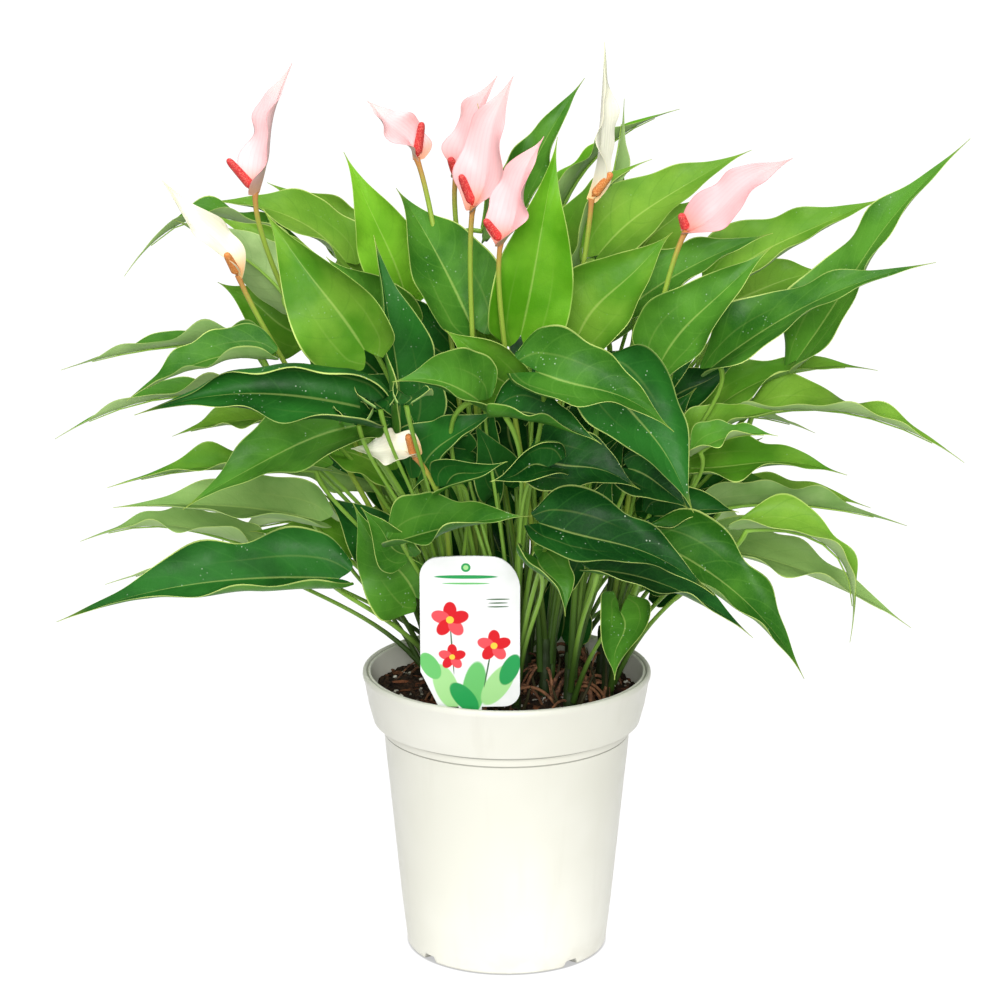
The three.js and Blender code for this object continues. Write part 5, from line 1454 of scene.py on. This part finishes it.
def root_patch(start, end, height, radius):
    """An arched root between two places. Radius at share s: the given one times
    1 + 0.08 sin(31 s) + 0.05 sin(57 s + 1), which makes it a little knobbly."""
    start, end = np.array(start, float), np.array(end, float)
    flat = (end - start) * (1, 1, 0)
    first = start + 0.5 * flat + (0, 0, 0.6 * height)
    second = end - 0.1 * flat + (0, 0, height)
    share = np.linspace(0, 1, 22)
    knobs = 1 + 0.08 * np.sin(31 * share) + 0.05 * np.sin(57 * share + 1)
    return tube_patch(bezier([start, first, second, end], share), radius * knobs, 8, 0, radius % 1)


def fine_roots(foot):
    """Thin roots that leave a stem on all sides a little above the soil and arch into it."""
    turns = litter_draw.uniform(0, 2 * math.pi, FINE_ROOTS)
    rows = litter_draw.uniform((4, 12, 1, 0.4), (16, 27, 9, 0.95), (FINE_ROOTS, 4))
    made = []
    for turn, (height, reach, arch, radius) in zip(turns, rows):
        out = np.array([math.cos(turn), math.sin(turn)])
        start, end = foot + 3 * out, foot + reach * out
        end *= min(1, ROOT_LIMIT / np.hypot(*end))
        made.append(root_patch((*start, SOIL_TOP + height), (*end, SOIL_TOP - 3), arch, radius))
    return made


def knob_patch():
    """The woody knob, 19 mm of tube. Radius at share s: 3.6 - s + 0.25 sin(18 s)."""
    share = np.linspace(0, 1, 20)
    path = np.stack([KNOB[0] + 0 * share, KNOB[1] + 0 * share, SOIL_TOP - 6 + 19 * share], -1)
    return tube_patch(path, 3.6 - share + 0.25 * np.sin(18 * share), 14, 0)


root_tones = {"Dark": paint(56, 34, 22), "Light": paint(132, 90, 60), "Scale": 380.0, "Gloss": 0.65}
root_finish = skin_material("root_skin", earth_skin, root_tones, Specular_IOR_Level=WAX_SHINE)
root_patches = [knob_patch()]
root_patches += [root_patch((*KNOB, SOIL_TOP + 10), (*end, SOIL_TOP - 4), height, radius)
                 for end, height, radius in ROOT_ROWS]
for shoot in SHOOTS.values():
    root_patches += fine_roots(np.array(shoot["foot"], float))
roots = make_piece("root_tangle", root_patches, [root_finish])
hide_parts("aerial_roots")
print("roots:", len(root_patches) - 1)

# %% [markdown]
# ## The plant label
# A stick-in label is a thin glossy plate with an arched top and a spike. It could be cut from a
# sheet, but a grid whose columns run from the lower edge to the upper one needs no cut: the arch, the
# chamfered corner, the round ones and the spike are only two curves.

# %% The label's shape
LABEL_WIDTH, LABEL_HEAD, LABEL_DEPTH, LABEL_SPIKE = 50, 76, 44, 11
PLATE_FOOT, POINT_RISE, TOP_ARCH = -3, 10, 2
CHAMFER_RISE, CHAMFER_WIDTH = 19, 9
FOOT_ROUND = 8
RIGHT_WIDTH, RIGHT_DROP = 14, 16
LEFT_WIDTH, LEFT_DROP = 8, 9


def quarter(x, start, width):
    """0 before start, and then the drop of a quarter circle, to 1 at start + width."""
    return 1 - np.sqrt(1 - np.clip((x - start) / width, 0, 1) ** 2)


def label_edges(x):
    """The plate's lower and upper edge at each x. Low: the foot, a straight chamfer at the left and a
    quarter circle at the right, or the spike's point near the middle. High: the head, an arch
    2 (1 - (x / half)^2), and a quarter circle at either side."""
    half = LABEL_WIDTH / 2
    spike = LABEL_SPIKE / 2
    chamfer = CHAMFER_RISE * np.clip((-x - half + CHAMFER_WIDTH) / CHAMFER_WIDTH, 0, 1)
    low = PLATE_FOOT + chamfer + FOOT_ROUND * quarter(x, half - FOOT_ROUND, FOOT_ROUND)
    point = -LABEL_DEPTH + POINT_RISE * np.clip(np.abs(x) / spike, 0, 1)
    low = np.where(np.abs(x) < spike, point, low)
    right = RIGHT_DROP * quarter(x, half - RIGHT_WIDTH, RIGHT_WIDTH)
    left = LEFT_DROP * quarter(-x, half - LEFT_WIDTH, LEFT_WIDTH)
    high = LABEL_HEAD + TOP_ARCH * (1 - (x / half) ** 2) - right - left
    return low, high


print("label edges at its middle:", [round(float(edge)) for edge in label_edges(0.0)])

# %% [markdown]
# ## The label's plate
# The two curves become a sheet with a wall, a little bowed and leaned, as a card that is pushed into
# bark always is. Its columns crowd towards the sides, where the corners turn.

# %% The label's plate
LABEL_THICKNESS, LABEL_LEAN, LABEL_BOW = 0.9, 5, 0.8
LABEL_PLACE = np.array([-18.5, -57, 150])
LABEL_ROWS, LABEL_COLUMNS = 41, 161
MARK_SPAN = 100


def label_patch():
    """The plate as two grids and a wall, bowed by 0.8 (2 x / width)^2 and leaned by 5 degrees."""
    x = LABEL_WIDTH / 2 * np.sin(np.linspace(-math.pi / 2, math.pi / 2, LABEL_COLUMNS))[None]
    low, high = label_edges(x)
    z = low + (high - low) * np.linspace(0, 1, LABEL_ROWS)[:, None]
    x = x + 0 * z
    lean = math.radians(LABEL_LEAN)
    sides = []
    for offset in (-LABEL_THICKNESS / 2, LABEL_THICKNESS / 2):
        y = offset + LABEL_BOW * (x / LABEL_WIDTH * 2) ** 2
        leaned_y = y * math.cos(lean) - z * math.sin(lean)
        leaned_z = z * math.cos(lean) + y * math.sin(lean)
        sides.append(np.stack([x, leaned_y, leaned_z], -1))
    marks = np.stack([x / MARK_SPAN + 0.5, z / MARK_SPAN + 0.5], -1)
    faces = np.concatenate(sheet_faces(LABEL_ROWS, LABEL_COLUMNS))
    return patch(np.concatenate(sides) + LABEL_PLACE, np.concatenate([marks, marks]), faces, 0)


print("points on a side of the label:", LABEL_ROWS * LABEL_COLUMNS)

# %% [markdown]
# ## The label's print
# The print is a plain flower pattern made of soft ovals, with no words. Each oval is a distance
# test: the plate's marks are moved to the oval's middle, turned, and divided by its half sizes, and
# where the length is under one there is ink. A table lists the ovals from back to front, by middle,
# half sizes, turn and ink. The blossoms follow: middle and size, five petals each.

# %% The label's print
LEAF_INK, DEEP_INK, MINT_INK = paint(112, 200, 112), paint(40, 160, 84), paint(172, 226, 150)
RED_INK, ROSE_INK = paint(222, 24, 36), paint(240, 84, 92)
YELLOW_INK, GREY_INK = paint(250, 212, 70), paint(80, 112, 78)
BLOSSOMS = [(-10, 44, 9), (12, 30, 8), (-9, 24, 6.5)]
PRINT_OVALS = [
    (-12, 8, 6, 13, 20, MINT_INK), (2, 7, 6, 15, -8, LEAF_INK), (14, 9, 6, 13, -34, MINT_INK),
    (-20, 19, 4.5, 8, 30, LEAF_INK), (20, 17, 4.5, 9, -24, DEEP_INK), (-3, 2, 5, 10, 40, DEEP_INK),
    (-9, 28, 0.4, 14, 4, GREY_INK), (9, 19, 0.4, 12, -10, GREY_INK), (-2, 67, 16, 1.0, 0, DEEP_INK),
    (-2, 63.5, 12, 0.5, 0, LEAF_INK), (14, 55, 6, 0.4, 0, GREY_INK), (14, 53, 5, 0.4, 0, GREY_INK),
    (14, 51, 5.5, 0.4, 0, GREY_INK), (-2, 72, 2.4, 2.4, 0, DEEP_INK), (-2, 72, 1.3, 1.3, 0, MINT_INK),
]
for x, z, size in BLOSSOMS:
    for k in range(5):
        turn = math.radians(90 + 72 * k)
        middle = (x + 0.55 * size * math.cos(turn), z + 0.55 * size * math.sin(turn))
        petal_ink = RED_INK if k % 2 == 0 else ROSE_INK
        PRINT_OVALS.append((*middle, 0.38 * size, 0.54 * size, 72 * k, petal_ink))
    PRINT_OVALS.append((x, z, 0.22 * size, 0.22 * size, 0, YELLOW_INK))

label_finish, tree, shader, place = new_material("label_card", Roughness=0.32, Specular_IOR_Level=0.4)
marks = add_node(tree, "ShaderNodeUVMap", uv_map="blade").outputs[0]
ink = blend(tree, ramp(tree, noise(tree, place, 90, 2), 0.3, 0.7), paint(240, 242, 240), paint(248, 248, 248))
for x, z, half_x, half_z, turn, colour in PRINT_OVALS:
    moved = add_node(tree, "ShaderNodeMapping", {
        0: marks, 1: (x / MARK_SPAN + 0.5, z / MARK_SPAN + 0.5, 0), 2: (0, 0, math.radians(turn)),
        3: (half_x / MARK_SPAN, half_z / MARK_SPAN, 1),
    }, vector_type="TEXTURE")
    far = add_node(tree, "ShaderNodeVectorMath", {0: moved.outputs[0]}, operation="LENGTH").outputs["Value"]
    ink = blend(tree, ramp(tree, far, 0.92, 1.04, 1.0, 0.0), ink, colour)
tree.links.new(ink, shader.inputs["Base Color"])

label = make_piece("label_plate", [label_patch()], [label_finish], crease=35)
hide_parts("label")
print("ovals in the print:", len(PRINT_OVALS))

# %% [markdown]
# ## The backdrop
# The photograph was taken in a bright studio, with a white sweep of paper under and behind the
# plant, lit so strongly that it shows no shadow. The sweep is one curved sheet that glows by itself,
# so it stays white while the plant keeps its shades. It glows less in front of the pot, where the
# camera doesn't see it, so that less light comes from below.

# %% The backdrop
def sweep_mesh(name, half_width, front, back, height, bend):
    """A floor from `front` to `back` that rises to `height` in a quarter circle of radius `bend`."""
    angle = np.linspace(0, math.pi / 2, 24)
    y = np.concatenate([[front], back + bend * np.sin(angle), [back + bend]])
    z = np.concatenate([[0], bend * (1 - np.cos(angle)), [height]]) - 0.0002
    x = np.array([-half_width, half_width])[None]
    points = np.stack(np.broadcast_arrays(x, y[:, None], z[:, None]), -1).reshape(-1, 3)
    mesh = bpy.data.meshes.new(name)
    mesh.from_pydata(points.tolist(), [], grid_faces(len(y), 2).tolist())
    mesh.shade_smooth()
    sweep = bpy.data.objects.new(name, mesh)
    bpy.context.scene.collection.objects.link(sweep)
    return sweep


PAPER_GLOW, PAPER_GLOW_NEAR, PAPER_GLOW_SHADOWED, PAPER_GLOW_BESIDE = 1.0, 0.35, 0.5, 0.25
sweep_finish, tree, shader, place = new_material("paper", Roughness=1.0, Specular_IOR_Level=0.0,
                                                 Base_Color=(0.1, 0.1, 0.1, 1), Emission_Color=(1, 1, 1, 1))
paper_x, paper_y, _ = apart(tree, place)
glow = ramp(tree, paper_y, -0.3, -0.1, PAPER_GLOW_NEAR, PAPER_GLOW)
beside = sums(tree, "SUBTRACT", sums(tree, "ABSOLUTE", paper_x), sums(tree, "MULTIPLY", paper_y, 0.2))
glow = sums(tree, "MULTIPLY", glow, ramp(tree, beside, 0.32, 0.42, 1.0, PAPER_GLOW_BESIDE))
# Painted shadow: the paper glows less under the pot and in a thin ring round its foot, which darkens the
# notches.
from_pot = add_node(tree, "ShaderNodeVectorMath", {0: place}, operation="LENGTH").outputs["Value"]
glow = sums(tree, "MULTIPLY", glow, ramp(tree, from_pot, 0.0515, 0.0535, PAPER_GLOW_SHADOWED, 1.0))
tree.links.new(glow, shader.inputs["Emission Strength"])
sweep = sweep_mesh("paper_sweep", half_width=1.4, front=-1.2, back=2.2, height=0.6, bend=0.4)
sweep.data.materials.append(sweep_finish)
print("faces of the sweep:", len(sweep.data.polygons))

# %% [markdown]
# ## The light
# Two large soft lamps stand in front and above, where the studio had its own, and a dim grey world
# fills the shade between the leaves. More lamps would flatten the leaves that face the camera.

# %% The light
WORLD_GREY = 0.36
LAMP_ROWS = {
    "front_lamp": ((0.0, -2.0, 0.95), (0, 0, 0.2), 1.0, 40),
    "top_lamp": ((-0.3, -0.5, 1.9), (0, 0, 0.3), 1.0, 15),
}


def soft_lamp(name, place, aim, size, power):
    """A square lamp at `place` that looks at `aim`, with its size in metres and its power in watts."""
    data = bpy.data.lights.new(name, "AREA")
    data.size = size
    data.energy = power
    lamp = bpy.data.objects.new(name, data)
    lamp.location = place
    along = unit(np.subtract(aim, place))
    lamp.rotation_euler = (math.acos(-along[2]), 0, math.atan2(along[0], -along[1]) + math.pi)
    bpy.context.scene.collection.objects.link(lamp)
    return lamp


world = bpy.data.worlds.new("dim_room")
world.use_nodes = True
world.node_tree.nodes["Background"].inputs[0].default_value = (WORLD_GREY, WORLD_GREY, WORLD_GREY, 1)
bpy.context.scene.world = world
bpy.context.scene.view_settings.view_transform = "Standard"
for name, row in LAMP_ROWS.items():
    soft_lamp(name, *row)
